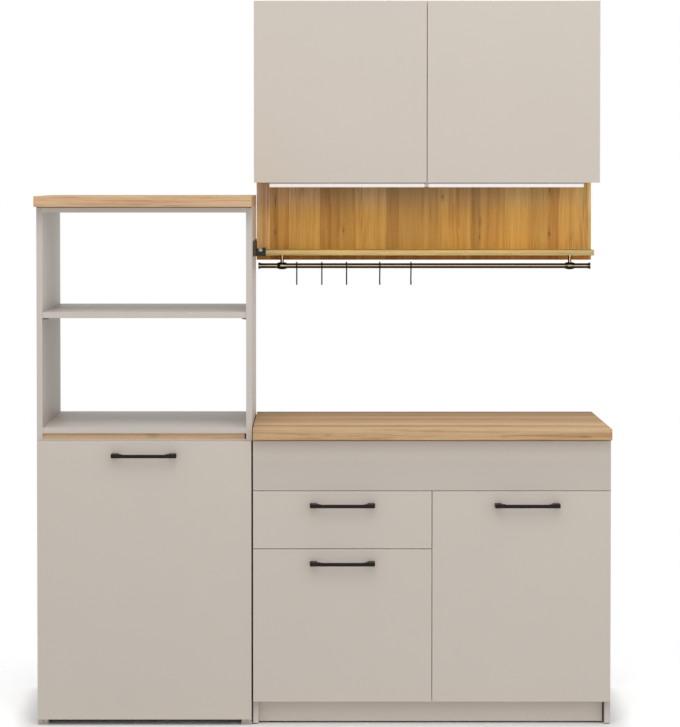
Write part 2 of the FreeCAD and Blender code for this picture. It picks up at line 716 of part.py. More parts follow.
wd_w = (P.wall_w - P.winset * 2 - P.col_gap) / 2
wlx = P.wall_x + P.winset
wrx = wlx + wd_w + P.col_gap
wd_h = P.wdoor_top - P.wdoor_z
front_panel("wall_door_left", wlx, P.wdoor_z, wd_w, wd_h, w_back, cups=(P.wall_h_lo, P.wall_h_hi))
front_panel("wall_door_right", wrx, P.wdoor_z, wd_w, wd_h, w_back, cups=(P.wall_h_lo, P.wall_h_hi), cup_side=-1)
keep(group([hinge_cup(wlx, 1, w_back, z) for z in (P.wall_h_lo, P.wall_h_hi)]), "wall_left_hinge_cups")
keep(group([hinge_cup(wrx + wd_w, -1, w_back, z) for z in (P.wall_h_lo, P.wall_h_hi)]), "wall_right_hinge_cups")

# hanging rail: a Z section of steel with two wall screw holes, and the two hangers
hr_z = P.wall_top_z - 95.0
b = body("hanging_strip")
sk = sketch(b, "YZ_Plane", "section")
# the sketch's first axis runs to the wall; the strip's back is at depth 0
poly(sk, [(0, 0), (0, 45.0), (-2.0, 45.0), (-2.0, 32.0), (-6.0, 32.0), (-6.0, 45.5),
          (-8.0, 45.5), (-8.0, 30.0), (-2.0, 30.0), (-2.0, 0)], "z")
pad(b, sk, P.wall_w - 50.0, "strip")
place(b, X(P.wall_x + 25.0), Y(0), hr_z)
hang_mid = P.wall_x + P.wall_w / 2
strip = cut(b, [
    cyl(hang_mid - P.hang_pitch / 2, -1.0, hr_z + 15.0, P.hang_hole, 4.0, "-y"),
    cyl(hang_mid + P.hang_pitch / 2, -1.0, hr_z + 15.0, P.hang_hole, 4.0, "-y"),
])
hang = [strip]
for x0 in (P.wall_x + P.board + 1.0, wx1 - P.board - 23.0):
    hang.append(fuse([
        box(x0, 8.6, hr_z + 20.0, 22.0, 1.9, 28.0),
        box(x0, 3.2, hr_z + 46.5, 22.0, 7.3, 1.9),
        box(x0, 3.2, hr_z + 36.0, 22.0, 2.0, 12.4),
        box(x0, 10.0, hr_z + 24.0, 22.0, 26.0, 18.0),
        box(x0, 20.0, hr_z + 14.0, 22.0, 28.0, 50.0),
    ]))
keep(group(hang), "wall_hanging_rail")

# ================================================================ light bars
bars, lenses = [], []
for k in (0, 1):
    x0 = P.led_x + (P.led_len + P.led_gap) * k
    base = box(x0, P.led_d, P.wall_z - P.led_t, P.led_len, P.led_w, P.led_t)
    bars.append(base)
    b = body("lens_%d" % k)
    sk = sketch(b, "YZ_Plane", "section")
    L = P.led_lens
    wv = P.led_w - 2.0
    poly(sk, [(0, L), (0, L * 0.45), (wv * 0.1, L * 0.2), (wv * 0.28, L * 0.04), (wv * 0.5, 0),
              (wv * 0.72, L * 0.04), (wv * 0.9, L * 0.2), (wv, L * 0.45), (wv, L)], "l")
    pad(b, sk, P.led_len - 1.0, "lens")
    place(b, X(x0 + 0.5), Y(P.led_d + P.led_w - 1.0), P.wall_z - P.led_t - P.led_lens)
    lenses.append(b)
keep(group(bars), "led_housings")
keep(group(lenses), "led_diffusers")

# ================================================================ niche
keep(box(P.niche_x, 0, P.niche_z, P.niche_w, P.board, P.niche_top - P.niche_z), "niche_panel")
ns_w = P.niche_x + P.niche_w - P.nshelf_x
b = body("niche_shelf")
sk = sketch(b, "XY_Plane", "outline")
rect(sk, 0, 0, ns_w, P.nshelf_d - P.board, "o")
p = pad(b, sk, P.board, "slab")
place(b, X(P.nshelf_x), Y(P.nshelf_d), P.nshelf_z)
round_edges(b, p, lambda e: edge_in_plane(e, "y", 0.0) and abs(e.Vertexes[0].Point.z - e.Vertexes[-1].Point.z) < 1e-4, 1.0)
keep(b)

# black bracket at the left end: a long side plate on the tall unit, a plate under the
# shelf's end and a hook plate in front of it with a notch for the stop
bz = P.nshelf_z - 2.3
bracket_t = 2.0
flange = box(P.tall_w, 60.0, P.nshelf_z + 5.0, 3.0, 362.0, 43.0)
root_leg = box(P.tall_w, 60.0, bz, 3.0, 56.5, 20.0)
bflg = box(P.tall_w, 60.0, bz, 30.0, 53.5, bracket_t)
frontp = box(P.tall_w, P.nshelf_d + 0.3, bz, 31.0, 3.2, 13.5)
leg = box(P.tall_w, P.nshelf_d + 0.3, bz, 5.0, 3.2, 45.0)
step = box(P.tall_w, P.nshelf_d + 0.3, bz, 9.5, 3.2, 23.0)
stubp = box(P.tall_w + 21.0, P.nshelf_d + 0.3, bz, 10.0, 3.2, 25.5)
solid = fuse([flange, root_leg, bflg, frontp, leg, step, stubp])
bores, bscrews = [], []
for d in (150.0, 390.0):
    bores.append(cyl(P.tall_w - 1.0, d, P.nshelf_z + 26.5, 2.2, 6.0, "x"))
    holes.setdefault("tall_side_right", []).append(cyl(P.tall_w + 1.0, d, P.nshelf_z + 26.5, 2.2, 14.0, "-x"))
    bscrews.append(fuse([
        cyl(P.tall_w + 3.0, d, P.nshelf_z + 26.5, 2.0, 15.0, "-x"),
        cyl(P.tall_w + 3.0, d, P.nshelf_z + 26.5, 4.0, 1.0, "x"),
    ]))
keep(group([cut(solid, bores)] + bscrews), "shelf_bracket")

# ================================================================ utensil rail
tube = cyl(P.rail_x, P.rail_d, P.rail_z, P.rail_rad, P.rail_len, "x")
core = cyl(P.rail_x - 1.0, P.rail_d, P.rail_z, P.rail_in, P.rail_len + 2.0, "x")
keep(cut(tube, [core]), "rail_tube")
fit = []
for k, px in enumerate((P.post_a, P.post_b)):
    # barrel collar turned about the rail's axis, then the stem and its foot plate
    b = body("collar_%d" % k)
    sk = sketch(b, "XZ_Plane", "profile")
    hi, lo, w = P.rail_rad + 0.1, 8.7, P.collar_half * 2
    poly(sk, [(0, hi), (w, hi), (w, lo), (w - 9.0, P.collar_rad), (9.0, P.collar_rad), (0, lo)], "v")
    count[0] += 1
    rv = b.newObject("PartDesign::Revolution", "turned_%03d" % count[0])
    rv.Profile = sk
    rv.ReferenceAxis = (sk, ["H_Axis"])
    rv.Angle = 360.0
    place(b, X(px - P.collar_half), Y(P.rail_d), P.rail_z)
    fit.append(fuse([
        b,
        cyl(px, P.rail_d, P.rail_z + 9.0, 5.0, P.nshelf_z - P.rail_z - 9.0, "z"),
        cyl(px, P.rail_d, P.nshelf_z - 2.5, 9.0, 2.5, "z"),
    ]))
for x0, al in ((P.rail_x, "-x"), (P.rail_x + P.rail_len, "x")):
    sgn = 1.0 if al == "-x" else -1.0
    fit.append(fuse([
        cone(x0, P.rail_d, P.rail_z, 7.7, P.cap_rad, 6.0, al),
        cyl(x0 - 6.0 * sgn, P.rail_d, P.rail_z, P.cap_rad, 2.5, al),
        cyl(x0 + 9.0 * sgn, P.rail_d, P.rail_z, P.rail_in - 0.2, 10.0, al),
    ]))
keep(group(fit), "rail_fittings")


# S-hooks: bent wire in the plane across the rail, hanging under its own axis
def hook(label, x):
    b = body(label)
    R, L = P.hook_rad, P.hook_pitch
    nz = -2.0 * R.v / L.v
    ny = -math.sqrt(1.0 - nz * nz)
    a1 = math.atan2(nz, ny) % (2 * math.pi)
    a2 = (a1 - math.pi) % (2 * math.pi)
    sk = sketch(b, "YZ_Plane", "spine")
    upper = Part.ArcOfCircle(Part.Circle(Vector(0, 0, 0), Vector(0, 0, 1), R.v), 0.0, a1)
    line = Part.LineSegment(Vector(R.v * ny, R.v * nz, 0), Vector(-R.v * ny, -L.v - R.v * nz, 0))
    lower = Part.ArcOfCircle(Part.Circle(Vector(0, -L.v, 0), Vector(0, 0, 1), R.v), -math.pi, a2)
    g1 = sk.addGeometry(upper, False)
    g2 = sk.addGeometry(line, False)
    g3 = sk.addGeometry(lower, False)
    sk.addConstraint(Sketcher.Constraint("Coincident", g1, 3, -1, 1))
    sk.addConstraint(Sketcher.Constraint("PointOnObject", g1, 1, -1))
    sk.addConstraint(Sketcher.Constraint("Tangent", g1, 2, g2, 1))
    sk.addConstraint(Sketcher.Constraint("Tangent", g2, 2, g3, 2))
    sk.addConstraint(Sketcher.Constraint("PointOnObject", g3, 3, -2))
    sk.addConstraint(Sketcher.Constraint("Equal", g1, g3))
    sk.addConstraint(Sketcher.Constraint("Horizontal", g3, 1, g3, 3))
    datum(sk, "Radius", (g1,), R, "bend")
    datum(sk, "DistanceY", (g3, 3, -1, 1), L, "pitch")
    pr = sketch(b, "XY_Plane", "wire")
    ring(pr, 0, R, P.wire_rad, "w")
    count[0] += 1
    sweep = b.newObject("PartDesign::AdditivePipe", "bend_%03d" % count[0])
    sweep.Profile = pr
    sweep.Spine = (sk, [])
    place(b, X(x), Y(P.rail_d), P.rail_z)
    return keep(b)


for name, hx in (("hook_1", P.hook_a), ("hook_2", P.hook_b), ("hook_3", P.hook_c),
                 ("hook_4", P.hook_d), ("hook_5", P.hook_e)):
    hook(name, hx)

# ================================================================ panels with holes
for name, raw in (("tall_side_left", tl), ("tall_side_right", tr), ("base_side_left", bl),
                  ("base_side_right", br), ("base_divider", dv), ("wall_side_left", wl),
                  ("wall_side_right", wr)):
    if name in holes:
        keep(cut(raw, holes[name]), name)
    else:
        keep(raw, name)

keep(group(arms), "hinge_arms")
keep(group(pins), "shelf_pins")

# floor pads under both units and the middle foot of the base
pads = []
for x0 in (Q.of(0.5), P.tall_w - 30.5):
    for d in (12.0, 503.0):
        pads.append(box(x0, d, 0, 30.0, 56.0, P.tall_z_foot))
for x0 in (P.base_x + 0.5, bx1 - 15.5):
    for d in (20.0, 490.0):
        pads.append(box(x0, d, 0, 15.0, 50.0, P.base_foot))
pads.append(cyl(mid, 280.0, 0, 20.0, P.base_bot_z, "z"))
keep(group(pads), "floor_feet")

# ---------------------------------------------------------------- write
doc.recompute()
bad = []
for o in doc.Objects:
    if any(s in ("Invalid", "Error") for s in o.State):
        bad.append((o.Name, o.Label, list(o.State), [q.Label for q in o.OutList], [q.Label for q in o.InList]))
assert not bad, bad
assert len(nodes) <= 60, len(nodes)
labels = set()
total = None
for o in nodes:
    shape = o.Shape
    assert not shape.isNull() and shape.isValid(), o.Label
    assert o.Label not in labels and len(o.Label) < 60, o.Label
    labels.add(o.Label)
    assert shape.Solids, o.Label
    for sol in shape.Solids:
        assert sol.isValid() and sol.Volume > 1.0, o.Label
    bb = shape.BoundBox
    total = bb if total is None else total.united(bb)

for o in nodes:
    o.Shape.exportStep("parts/%s.step" % o.Label)
    bb = o.Shape.BoundBox
    print("%-24s solids %2d  vol %10.0f  x %8.1f %8.1f  y %8.1f %8.1f  z %8.1f %8.1f" % (
        o.Label, len(o.Shape.Solids), o.Shape.Volume, bb.XMin, bb.XMax, bb.YMin, bb.YMax, bb.ZMin, bb.ZMax))
print("nodes", len(nodes), "box", total.XMin, total.XMax, total.YMin, total.YMax, total.ZMin, total.ZMax)
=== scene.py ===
import math
import random

import bmesh
import bpy
from mathutils import Matrix, Vector


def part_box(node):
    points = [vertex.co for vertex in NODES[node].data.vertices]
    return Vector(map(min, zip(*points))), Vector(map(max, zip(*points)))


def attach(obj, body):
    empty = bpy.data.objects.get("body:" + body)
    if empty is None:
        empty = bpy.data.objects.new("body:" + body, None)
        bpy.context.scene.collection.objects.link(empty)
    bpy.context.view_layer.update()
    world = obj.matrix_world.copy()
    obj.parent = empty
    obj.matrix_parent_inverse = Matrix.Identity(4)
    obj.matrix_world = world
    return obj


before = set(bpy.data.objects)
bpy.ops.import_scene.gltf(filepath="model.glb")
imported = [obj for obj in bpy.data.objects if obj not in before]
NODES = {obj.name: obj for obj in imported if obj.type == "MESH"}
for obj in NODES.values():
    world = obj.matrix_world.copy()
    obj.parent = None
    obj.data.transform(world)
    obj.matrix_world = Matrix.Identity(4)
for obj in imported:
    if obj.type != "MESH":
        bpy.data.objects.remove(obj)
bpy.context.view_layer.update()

WALL_Y = 0.3065
MID_X = 0.799
random.seed(7)


def px(plan_x):
    """Row x in metres of a plan x in millimetres."""
    return (plan_x - 799.0) / 1000.0


def py(depth):
    """Row y in metres of a depth from the wall in millimetres."""
    return (306.5 - depth) / 1000.0


def pz(h):
    """Row z in metres of a height in millimetres above the plane 7 mm over the floor."""
    return (h + 7.0) / 1000.0


# ============================================================ shader graphs
class S:
    """A socket in a node graph, with arithmetic."""

    def __init__(self, g, socket):
        self.g = g
        self.s = socket

    def __add__(self, o): return self.g.math("ADD", self, o)
    def __radd__(self, o): return self.g.math("ADD", o, self)
    def __sub__(self, o): return self.g.math("SUBTRACT", self, o)
    def __rsub__(self, o): return self.g.math("SUBTRACT", o, self)
    def __mul__(self, o): return self.g.math("MULTIPLY", self, o)
    def __rmul__(self, o): return self.g.math("MULTIPLY", o, self)
    def __truediv__(self, o): return self.g.math("DIVIDE", self, o)
    def gt(self, o): return self.g.math("GREATER_THAN", self, o)
    def lt(self, o): return self.g.math("LESS_THAN", self, o)
    def abs(self): return self.g.math("ABSOLUTE", self)
    def floor(self): return self.g.math("FLOOR", self)
    def frac(self): return self.g.math("FRACT", self)
    def sin(self): return self.g.math("SINE", self)
    def pow(self, o): return self.g.math("POWER", self, o)
    def min(self, o): return self.g.math("MINIMUM", self, o)
    def max(self, o): return self.g.math("MAXIMUM", self, o)
    def clamp(self): return self.g.math("ADD", self, 0.0, clamp=True)

    def range(self, a, b, c=0.0, d=1.0, smooth=False):
        n = self.g.add("ShaderNodeMapRange")
        n.interpolation_type = "SMOOTHSTEP" if smooth else "LINEAR"
        n.clamp = True
        for i, v in enumerate((self, a, b, c, d)):
            self.g.feed(n.inputs[i], v)
        return S(self.g, n.outputs[0])


class Graph:
    """One material: a Principled surface and the nodes that feed it."""

    def __init__(self, name):
        self.mat = bpy.data.materials.new(name)
        self.mat.use_nodes = True
        self.t = self.mat.node_tree
        self.t.nodes.clear()
        out = self.add("ShaderNodeOutputMaterial")
        self.p = self.add("ShaderNodeBsdfPrincipled")
        self.t.links.new(self.p.outputs["BSDF"], out.inputs["Surface"])

    def add(self, kind):
        n = self.t.nodes.new(kind)
        k = len(self.t.nodes)
        n.location = (-180 * (k % 40), -220 * (k // 40))
        return n

    def feed(self, socket, value):
        if isinstance(value, S):
            self.t.links.new(value.s, socket)
        elif value is not None:
            socket.default_value = value

    def math(self, op, a, b=None, clamp=False):
        n = self.add("ShaderNodeMath")
        n.operation = op
        n.use_clamp = clamp
        self.feed(n.inputs[0], a)
        if b is not None:
            self.feed(n.inputs[1], b)
        return S(self, n.outputs[0])

    def place(self):
        """Row coordinates at rest, as three sockets: they ride with the body."""
        tc = self.add("ShaderNodeTexCoord")
        sep = self.add("ShaderNodeSeparateXYZ")
        self.t.links.new(tc.outputs["Object"], sep.inputs[0])
        return [S(self, sep.outputs[i]) for i in range(3)]

    def vec(self, x, y, z):
        n = self.add("ShaderNodeCombineXYZ")
        for i, v in enumerate((x, y, z)):
            self.feed(n.inputs[i], v)
        return S(self, n.outputs[0])

    def noise(self, v, scale=1.0, detail=2.0, rough=0.5, distort=0.0):
        n = self.add("ShaderNodeTexNoise")
        n.noise_dimensions = "3D"
        self.feed(n.inputs["Vector"], v)
        n.inputs["Scale"].default_value = scale
        n.inputs["Detail"].default_value = detail
        n.inputs["Roughness"].default_value = rough
        n.inputs["Distortion"].default_value = distort
        return S(self, n.outputs["Fac"])

    def cells(self, v, scale, feature="F1", out="Distance"):
        n = self.add("ShaderNodeTexVoronoi")
        n.feature = feature
        self.feed(n.inputs["Vector"], v)
        n.inputs["Scale"].default_value = scale
        return S(self, n.outputs[out])

    def white(self, w):
        n = self.add("ShaderNodeTexWhiteNoise")
        n.noise_dimensions = "1D"
        self.feed(n.inputs["W"], w)
        return S(self, n.outputs["Value"])

    def ramp(self, fac, stops, smooth=False):
        n = self.add("ShaderNodeValToRGB")
        cr = n.color_ramp
        cr.interpolation = "EASE" if smooth else "LINEAR"
        while len(cr.elements) < len(stops):
            cr.elements.new(0.5)
        for e, (pos, col) in zip(cr.elements, stops):
            e.position = pos
            e.color = (*col, 1.0) if not isinstance(col, float) else (col, col, col, 1.0)
        self.feed(n.inputs[0], fac)
        return S(self, n.outputs["Color"])

    def mix(self, fac, a, b, mode="MIX"):
        n = self.add("ShaderNodeMix")
        n.data_type = "RGBA"
        n.blend_type = mode
        n.clamp_factor = True
        self.feed(n.inputs[0], fac)
        for socket, v in ((n.inputs[6], a), (n.inputs[7], b)):
            self.feed(socket, (*v, 1.0) if isinstance(v, tuple) and len(v) == 3 else v)
        return S(self, n.outputs[2])

    def scaled(self, colour, k):
        """A colour times a number."""
        n = self.add("ShaderNodeVectorMath")
        n.operation = "SCALE"
        self.feed(n.inputs[0], colour)
        self.feed(n.inputs["Scale"], k)
        return S(self, n.outputs[0])

    def bump(self, height, distance, strength=1.0):
        n = self.add("ShaderNodeBump")
        n.inputs["Strength"].default_value = strength
        n.inputs["Distance"].default_value = distance
        self.feed(n.inputs["Height"], height)
        self.t.links.new(n.outputs[0], self.p.inputs["Normal"])

    def surface(self, **kw):
        names = {"colour": "Base Color", "rough": "Roughness", "metal": "Metallic", "spec": "Specular IOR Level",
                 "coat": "Coat Weight", "coat_rough": "Coat Roughness", "glow": "Emission Color",
                 "glow_strength": "Emission Strength", "alpha": "Alpha", "ior": "IOR", "sheen": "Sheen Weight",
                 "sheen_rough": "Sheen Roughness", "sss": "Subsurface Weight", "sss_scale": "Subsurface Scale"}
        for k, v in kw.items():
            if isinstance(v, tuple) and len(v) == 3:
                v = (*v, 1.0)
            self.feed(self.p.inputs[names[k]], v)
        return self.mat


def lin(r, g, b):
    """Display colour 0-255 to a linear one."""
    return tuple(((c / 255 + 0.055) / 1.055) ** 2.4 if c > 10 else c / 255 / 12.92 for c in (r, g, b))


# ------------------------------------------------------------ laminate
CASHMERE = lin(209, 198, 186)
CARCASS = lin(205, 196, 187)


def chipboard(g, x, y, z):
    """Raw particle board: pressed flakes of light wood, some darker."""
    v = g.vec(x, y * 1.0, z)
    wobble = g.noise(v, 240.0, 2.0, 0.6)
    v2 = g.vec(x + wobble * 0.002, y + wobble * 0.002, z * 1.6)
    cell = g.cells(v2, 560.0, "F1", "Color")
    n = g.add("ShaderNodeSeparateColor")
    g.feed(n.inputs[0], cell)
    tone = S(g, n.outputs[0])
    return g.ramp(tone, [(0.0, lin(120, 90, 60)), (0.22, lin(164, 130, 92)), (0.6, lin(190, 157, 116)),
                         (1.0, lin(214, 186, 146))]), tone


def toned(g, p, col, places, c):
    """col multiplied by c where all the places (axis, from, to) meet."""
    m = None
    for (axis, a, b) in places:
        q = p[axis].range(a, b)
        m = q if m is None else m * q
    return g.mix(m, col, g.mix(1.0, col, c, "MULTIPLY"))


def laminate(name, node, colour, thin, rough=0.46, raw_back=False, raw_low=False, band_tint_and_highlight=1.015, band_w=0.0006, painted_gap_shade=0.0,
             painted_light=()):
    """Melamine board with a fine matt structure. thin is the board's thickness axis: the hairline where the
    edge band ends runs 1 mm inside the face's outline, and the band itself is a touch lighter; a strong band tint, as
    on the fronts, is a painted highlight along the edges. The gap shade amount paints shade on the band on the narrow
    sides of a front, which stand in the gaps. Each entry of the painted light list (places, colour) is painted light
    and shade where all its places (axis, from, to) meet."""
    lo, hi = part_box(node)
    g = Graph(name)
    x, y, z = g.place()
    p = (x, y, z)
    v = g.vec(x, y, z)
    cloud = g.noise(v, 2.6, 3.0, 0.55)
    speck = g.noise(v, 900.0, 2.0, 0.6)
    leather = g.noise(v, 380.0, 3.0, 0.55)
    shade = cloud.range(0.3, 0.7, 0.985, 1.015) * speck.range(0.25, 0.75, 0.985, 1.015)
    d = None
    for a in range(3):
        if a == thin:
            continue
        e = (p[a] - lo[a]).min(hi[a] - p[a])
        d = e if d is None else d.min(e)
    seam = (d - 0.00105).abs().range(0.00008, 0.00026, 1.0, 0.0)
    # the band's tint: an edge band a touch lighter; a strong tint, as on the fronts, is a painted highlight along the
    # edges
    band = d.range(band_w * 0.55, band_w, 1.0, 0.0, smooth=True)
    shade = shade * (1.0 - seam * 0.16) * (1.0 + band * (band_tint_and_highlight - 1.0))
    # painted shade: the band on a front's narrow sides darkens deeper into the gap
    if painted_gap_shade:
        shade = shade * (1.0 - d.range(0.0002, 0.0004, painted_gap_shade, 0.0) * (p[thin] - lo[thin]).range(0.0012, 0.0035))
    col = g.scaled((*colour,), shade)
    # painted light and shade where the places meet
    for places, c in painted_light:
        col = toned(g, p, col, places, c)
    rgh = cloud.range(0.3, 0.7, rough - 0.03, rough + 0.03) + speck.range(0.2, 0.8, -0.04, 0.04)
    height = leather * 0.6 + speck * 0.4 - seam * 0.8
    if raw_back or raw_low:
        m = None
        if raw_back:
            m = p[1].gt(hi[1] - 0.00012)
        if raw_low:
            lowm = p[2].lt(lo[2] + 0.00012)
            m = lowm if m is None else m.max(lowm)
        chips, tone = chipboard(g, x, y, z)
        col = g.mix(m, col, chips)
        rgh = rgh + m * 0.35
        height = height + m * tone * 2.5
    g.bump(height, 0.00006, 0.55)
    return g.surface(colour=col, rough=rgh, spec=0.32)


# ------------------------------------------------------------ oak
OAK_LIGHT = lin(216, 184, 146)
OAK_MID = lin(203, 168, 128)
OAK_DARK = lin(173, 136, 97)
OAK_PORE = lin(120, 84, 52)


def oak(name, along, across, cuts, tones, knots=(), seed=0.0, rough=0.55, palette=None, joint=0.35, cathedral=(),
        redder=0.30, contrast=1.0, spec=0.30, grain=1.0, tints=None, shade=(), knot=1.0,
        painted_light=()):
    """Oak decor of glued planks. along is the grain axis, across the axis over which the planks change at the
    places in cuts; tones are their brightnesses; knots are (along, across, thickness place, half length, half width);
    cathedral lists the planks whose growth rings arch; tints gives some planks a colour of their own, and each entry
    of shade (axis, from, to, colour) is painted light and shade between two places; the painted light list works as in
    laminate."""
    g = Graph(name)
    dark_c, mid_c, light_c = palette or (OAK_DARK, OAK_MID, OAK_LIGHT)
    p = g.place()
    L, A = p[along], p[across]
    T = p[3 - along - across]
    ident = None
    seamline = None
    for c in cuts:
        step = A.gt(c)
        ident = step if ident is None else ident + step
        near = (A - c).abs().range(0.00015, 0.0007, 1.0, 0.0)
        seamline = near if seamline is None else seamline.max(near)
    if ident is None:
        ident = A * 0.0
        seamline = A * 0.0
    r1 = g.white(ident + (11.3 + seed))
    r2 = g.white(ident + (47.9 + seed))
    tone = None
    for i, t in enumerate(tones):
        hit = (ident - float(i)).abs().lt(0.5) * t
        tone = hit if tone is None else tone + hit
    # knots push the grain aside
    push = None
    dark = None
    for (kl, ka, kt, rl, ra) in knots:
        dl = (L - kl) / rl
        da = (A - ka) / ra
        dt = (T - kt) / (ra * 1.3)
        q = dl * dl + da * da + dt * dt
        core = q.range(0.0, 1.0, 1.0, 0.0, smooth=True)
        halo = q.range(0.0, 9.0, 1.0, 0.0, smooth=True)
        shove = halo * (A - ka).range(-ra * 3, ra * 3, -1.0, 1.0) * ra * 0.9
        push = shove if push is None else push + shove
        spot = (core * 0.50 + halo * 0.16)
        dark = spot if dark is None else dark.max(spot)
    bend = g.noise(g.vec(L * 1.6 + r1 * 31.0, A * 5.0 + r2 * 17.0, T * 5.0), 1.0, 3.0, 0.5)
    wob = g.noise(g.vec(L * 9.0 + r2 * 9.0, A * 22.0, T * 22.0), 1.0, 2.0, 0.5)
    Aw = A + (bend - 0.5) * 0.030 + (wob - 0.5) * 0.004 + r1 * 3.0
    if push is not None:
        Aw = Aw - push
    Lw = L + r2 * 7.0
    # growth rings seen on a quarter-sawn plank: long even streaks
    broad = g.noise(g.vec(Lw * 1.1, Aw * 22.0, T * 22.0), 1.0, 2.0, 0.5)
    streak = g.noise(g.vec(Lw * 2.4, Aw * (120.0 * grain), T * (120.0 * grain)), 1.0, 4.0, 0.58)
    fibre = g.noise(g.vec(Lw * 9.0, Aw * 420.0, T * 420.0), 1.0, 3.0, 0.6)
    late = g.noise(g.vec(Lw * 1.3 + 3.0, Aw * 210.0, T * 210.0), 1.0, 1.0, 0.5).range(0.56, 0.66)
    # growth rings of a flat-sawn plank: nested arches
    arch = None
    if cathedral:
        amount = None
        for i in cathedral:
            hit = (ident - float(i)).abs().lt(0.5)
            amount = hit if amount is None else amount + hit
        mid = g.noise(g.vec(L * 1.2 + 5.0, ident * 3.7, 0.5), 1.0, 1.0, 0.5)
        local = (Aw - r1 * 3.0)
        cell = None
        edges = [cuts[0] - 0.1] + list(cuts) + [cuts[-1] + 0.1]
        for i in cathedral:
            centre = (edges[i] + edges[i + 1]) / 2
            hit = (ident - float(i)).abs().lt(0.5) * centre
            cell = hit if cell is None else cell + hit
        across_d = (local - cell) + (mid - 0.5) * 0.02
        along_d = L * 0.16 + r2 * 0.8
        parabola = across_d * across_d * 30.0 + along_d + (bend - 0.5) * 0.03
        rings = (parabola * 300.0 + wob * 4.5).sin() * 0.5 + 0.5
        rings = rings.pow(1.6) * g.noise(g.vec(L * 5.0, A * 9.0, ident * 3.1), 1.0, 1.0, 0.5).range(0.42, 0.62)
        arch = rings * amount
    pores = g.noise(g.vec(Lw * 70.0, Aw * 1700.0, T * 1700.0), 1.0, 2.0, 0.55)
    poremask = pores.range(0.60, 0.70) * streak.range(0.35, 0.6, 0.25, 1.0)
    rays = g.noise(g.vec(Lw * 26.0, Aw * 60.0, T * 500.0), 1.0, 1.0, 0.5).range(0.66, 0.76)
    fac = broad * 0.22 + streak * 0.48 + fibre * 0.30 - late * 0.045
    if arch is not None:
        fac = fac - arch * 0.055
    fac = fac.range(0.49 - 0.13 / contrast, 0.49 + 0.13 / contrast)
    col = g.ramp(fac, [(0.0, dark_c), (0.42, mid_c), (1.0, light_c)])
    hue = g.mix(r2.range(0.0, 1.0, 0.0, redder), (1.0, 1.0, 1.0), (1.05, 0.93, 0.82))
    col = g.mix(1.0, col, hue, "MULTIPLY")
    col = g.scaled(col, tone)
    for i, c in sorted((tints or {}).items()):
        col = g.mix((ident - float(i)).abs().lt(0.5), col, g.mix(1.0, col, c, "MULTIPLY"))
    # painted light and shade between two places
    for (axis, a, b, c) in shade:
        col = g.mix(p[axis].range(a, b), col, g.mix(1.0, col, c, "MULTIPLY"))
    # painted light and shade where the places meet
    for places, c in painted_light:
        col = toned(g, p, col, places, c)
    col = g.mix(poremask * 0.34, col, OAK_PORE)
    col = g.mix(rays * 0.10, col, lin(226, 196, 158))
    if dark is not None:
        col = g.mix(dark.clamp() * knot, col, lin(92, 58, 32))
    col = g.mix(seamline * joint, col, lin(110, 78, 48))
    rgh = fac.range(0.0, 1.0, rough + 0.07, rough - 0.03) + poremask * 0.12
    height = fibre * 0.45 + streak * 0.25 - poremask * 0.7 - seamline * 0.6
    g.bump(height, 0.00012, 0.6)
    return g.surface(colour=col, rough=rgh, spec=spec)


# ------------------------------------------------------------ metals and plastics
def powder_black(name, base=0.016, rough=0.38, spec=0.5, tint=(1.04, 1.0, 0.97)):
    g = Graph(name)
    x, y, z = g.place()
    v = g.vec(x, y, z)
    grit = g.noise(v, 1500.0, 3.0, 0.65)
    cloud = g.noise(v, 45.0, 2.0, 0.5)
    k = cloud.range(0.3, 0.7, 0.88, 1.14) * grit.range(0.3, 0.7, 0.90, 1.12)
    col = g.scaled(tuple(base * t for t in tint), k)
    rgh = cloud.range(0.3, 0.7, rough - 0.04, rough + 0.05) + grit.range(0.3, 0.7, -0.04, 0.04)
    g.bump(grit, 0.00008, 0.5)
    return g.surface(colour=col, rough=rgh, spec=spec)


def dark_chrome(name, tint=(0.024, 0.020, 0.014), rough=0.16, stretch=0):
    """Polished dark nickel with a faint drawn texture along the tube."""
    g = Graph(name)
    p = g.place()
    s = [260.0, 260.0, 260.0]
    s[stretch] = 12.0
    v = g.vec(p[0] * s[0], p[1] * s[1], p[2] * s[2])
    drawn = g.noise(v, 1.0, 3.0, 0.6)
    cloud = g.noise(g.vec(*p), 30.0, 2.0, 0.5)
    col = g.scaled(tint, drawn.range(0.3, 0.7, 0.90, 1.08))
    rgh = drawn.range(0.3, 0.7, rough - 0.04, rough + 0.05) + cloud.range(0.3, 0.7, -0.02, 0.03)
    g.bump(drawn, 0.00003, 0.35)
    return g.surface(colour=col, rough=rgh, metal=1.0)


def plated(name, tint=(0.62, 0.61, 0.59), rough=0.30):
    g = Graph(name)
    p = g.place()
    v = g.vec(*p)
    cloud = g.noise(v, 60.0, 3.0, 0.6)
    fine = g.noise(g.vec(p[0] * 300.0, p[1] * 40.0, p[2] * 900.0), 1.0, 3.0, 0.6)
    col = g.scaled(tint, cloud.range(0.3, 0.7, 0.86, 1.08) * fine.range(0.3, 0.7, 0.95, 1.05))
    rgh = cloud.range(0.3, 0.7, rough - 0.07, rough + 0.08) + fine.range(0.3, 0.7, -0.04, 0.04)
    g.bump(fine, 0.00004, 0.4)
    return g.surface(colour=col, rough=rgh, metal=1.0)


def plastic(name, colour, rough=0.42, grain=650.0):
    g = Graph(name)
    v = g.vec(*g.place())
    cloud = g.noise(v, 80.0, 2.0, 0.5)
    fine = g.noise(v, grain, 2.0, 0.6)
    col = g.scaled(colour, cloud.range(0.3, 0.7, 0.96, 1.04) * fine.range(0.3, 0.7, 0.97, 1.03))
    rgh = fine.range(0.3, 0.7, rough - 0.05, rough + 0.06)
    g.bump(fine, 0.00005, 0.4)
    return g.surface(colour=col, rough=rgh)


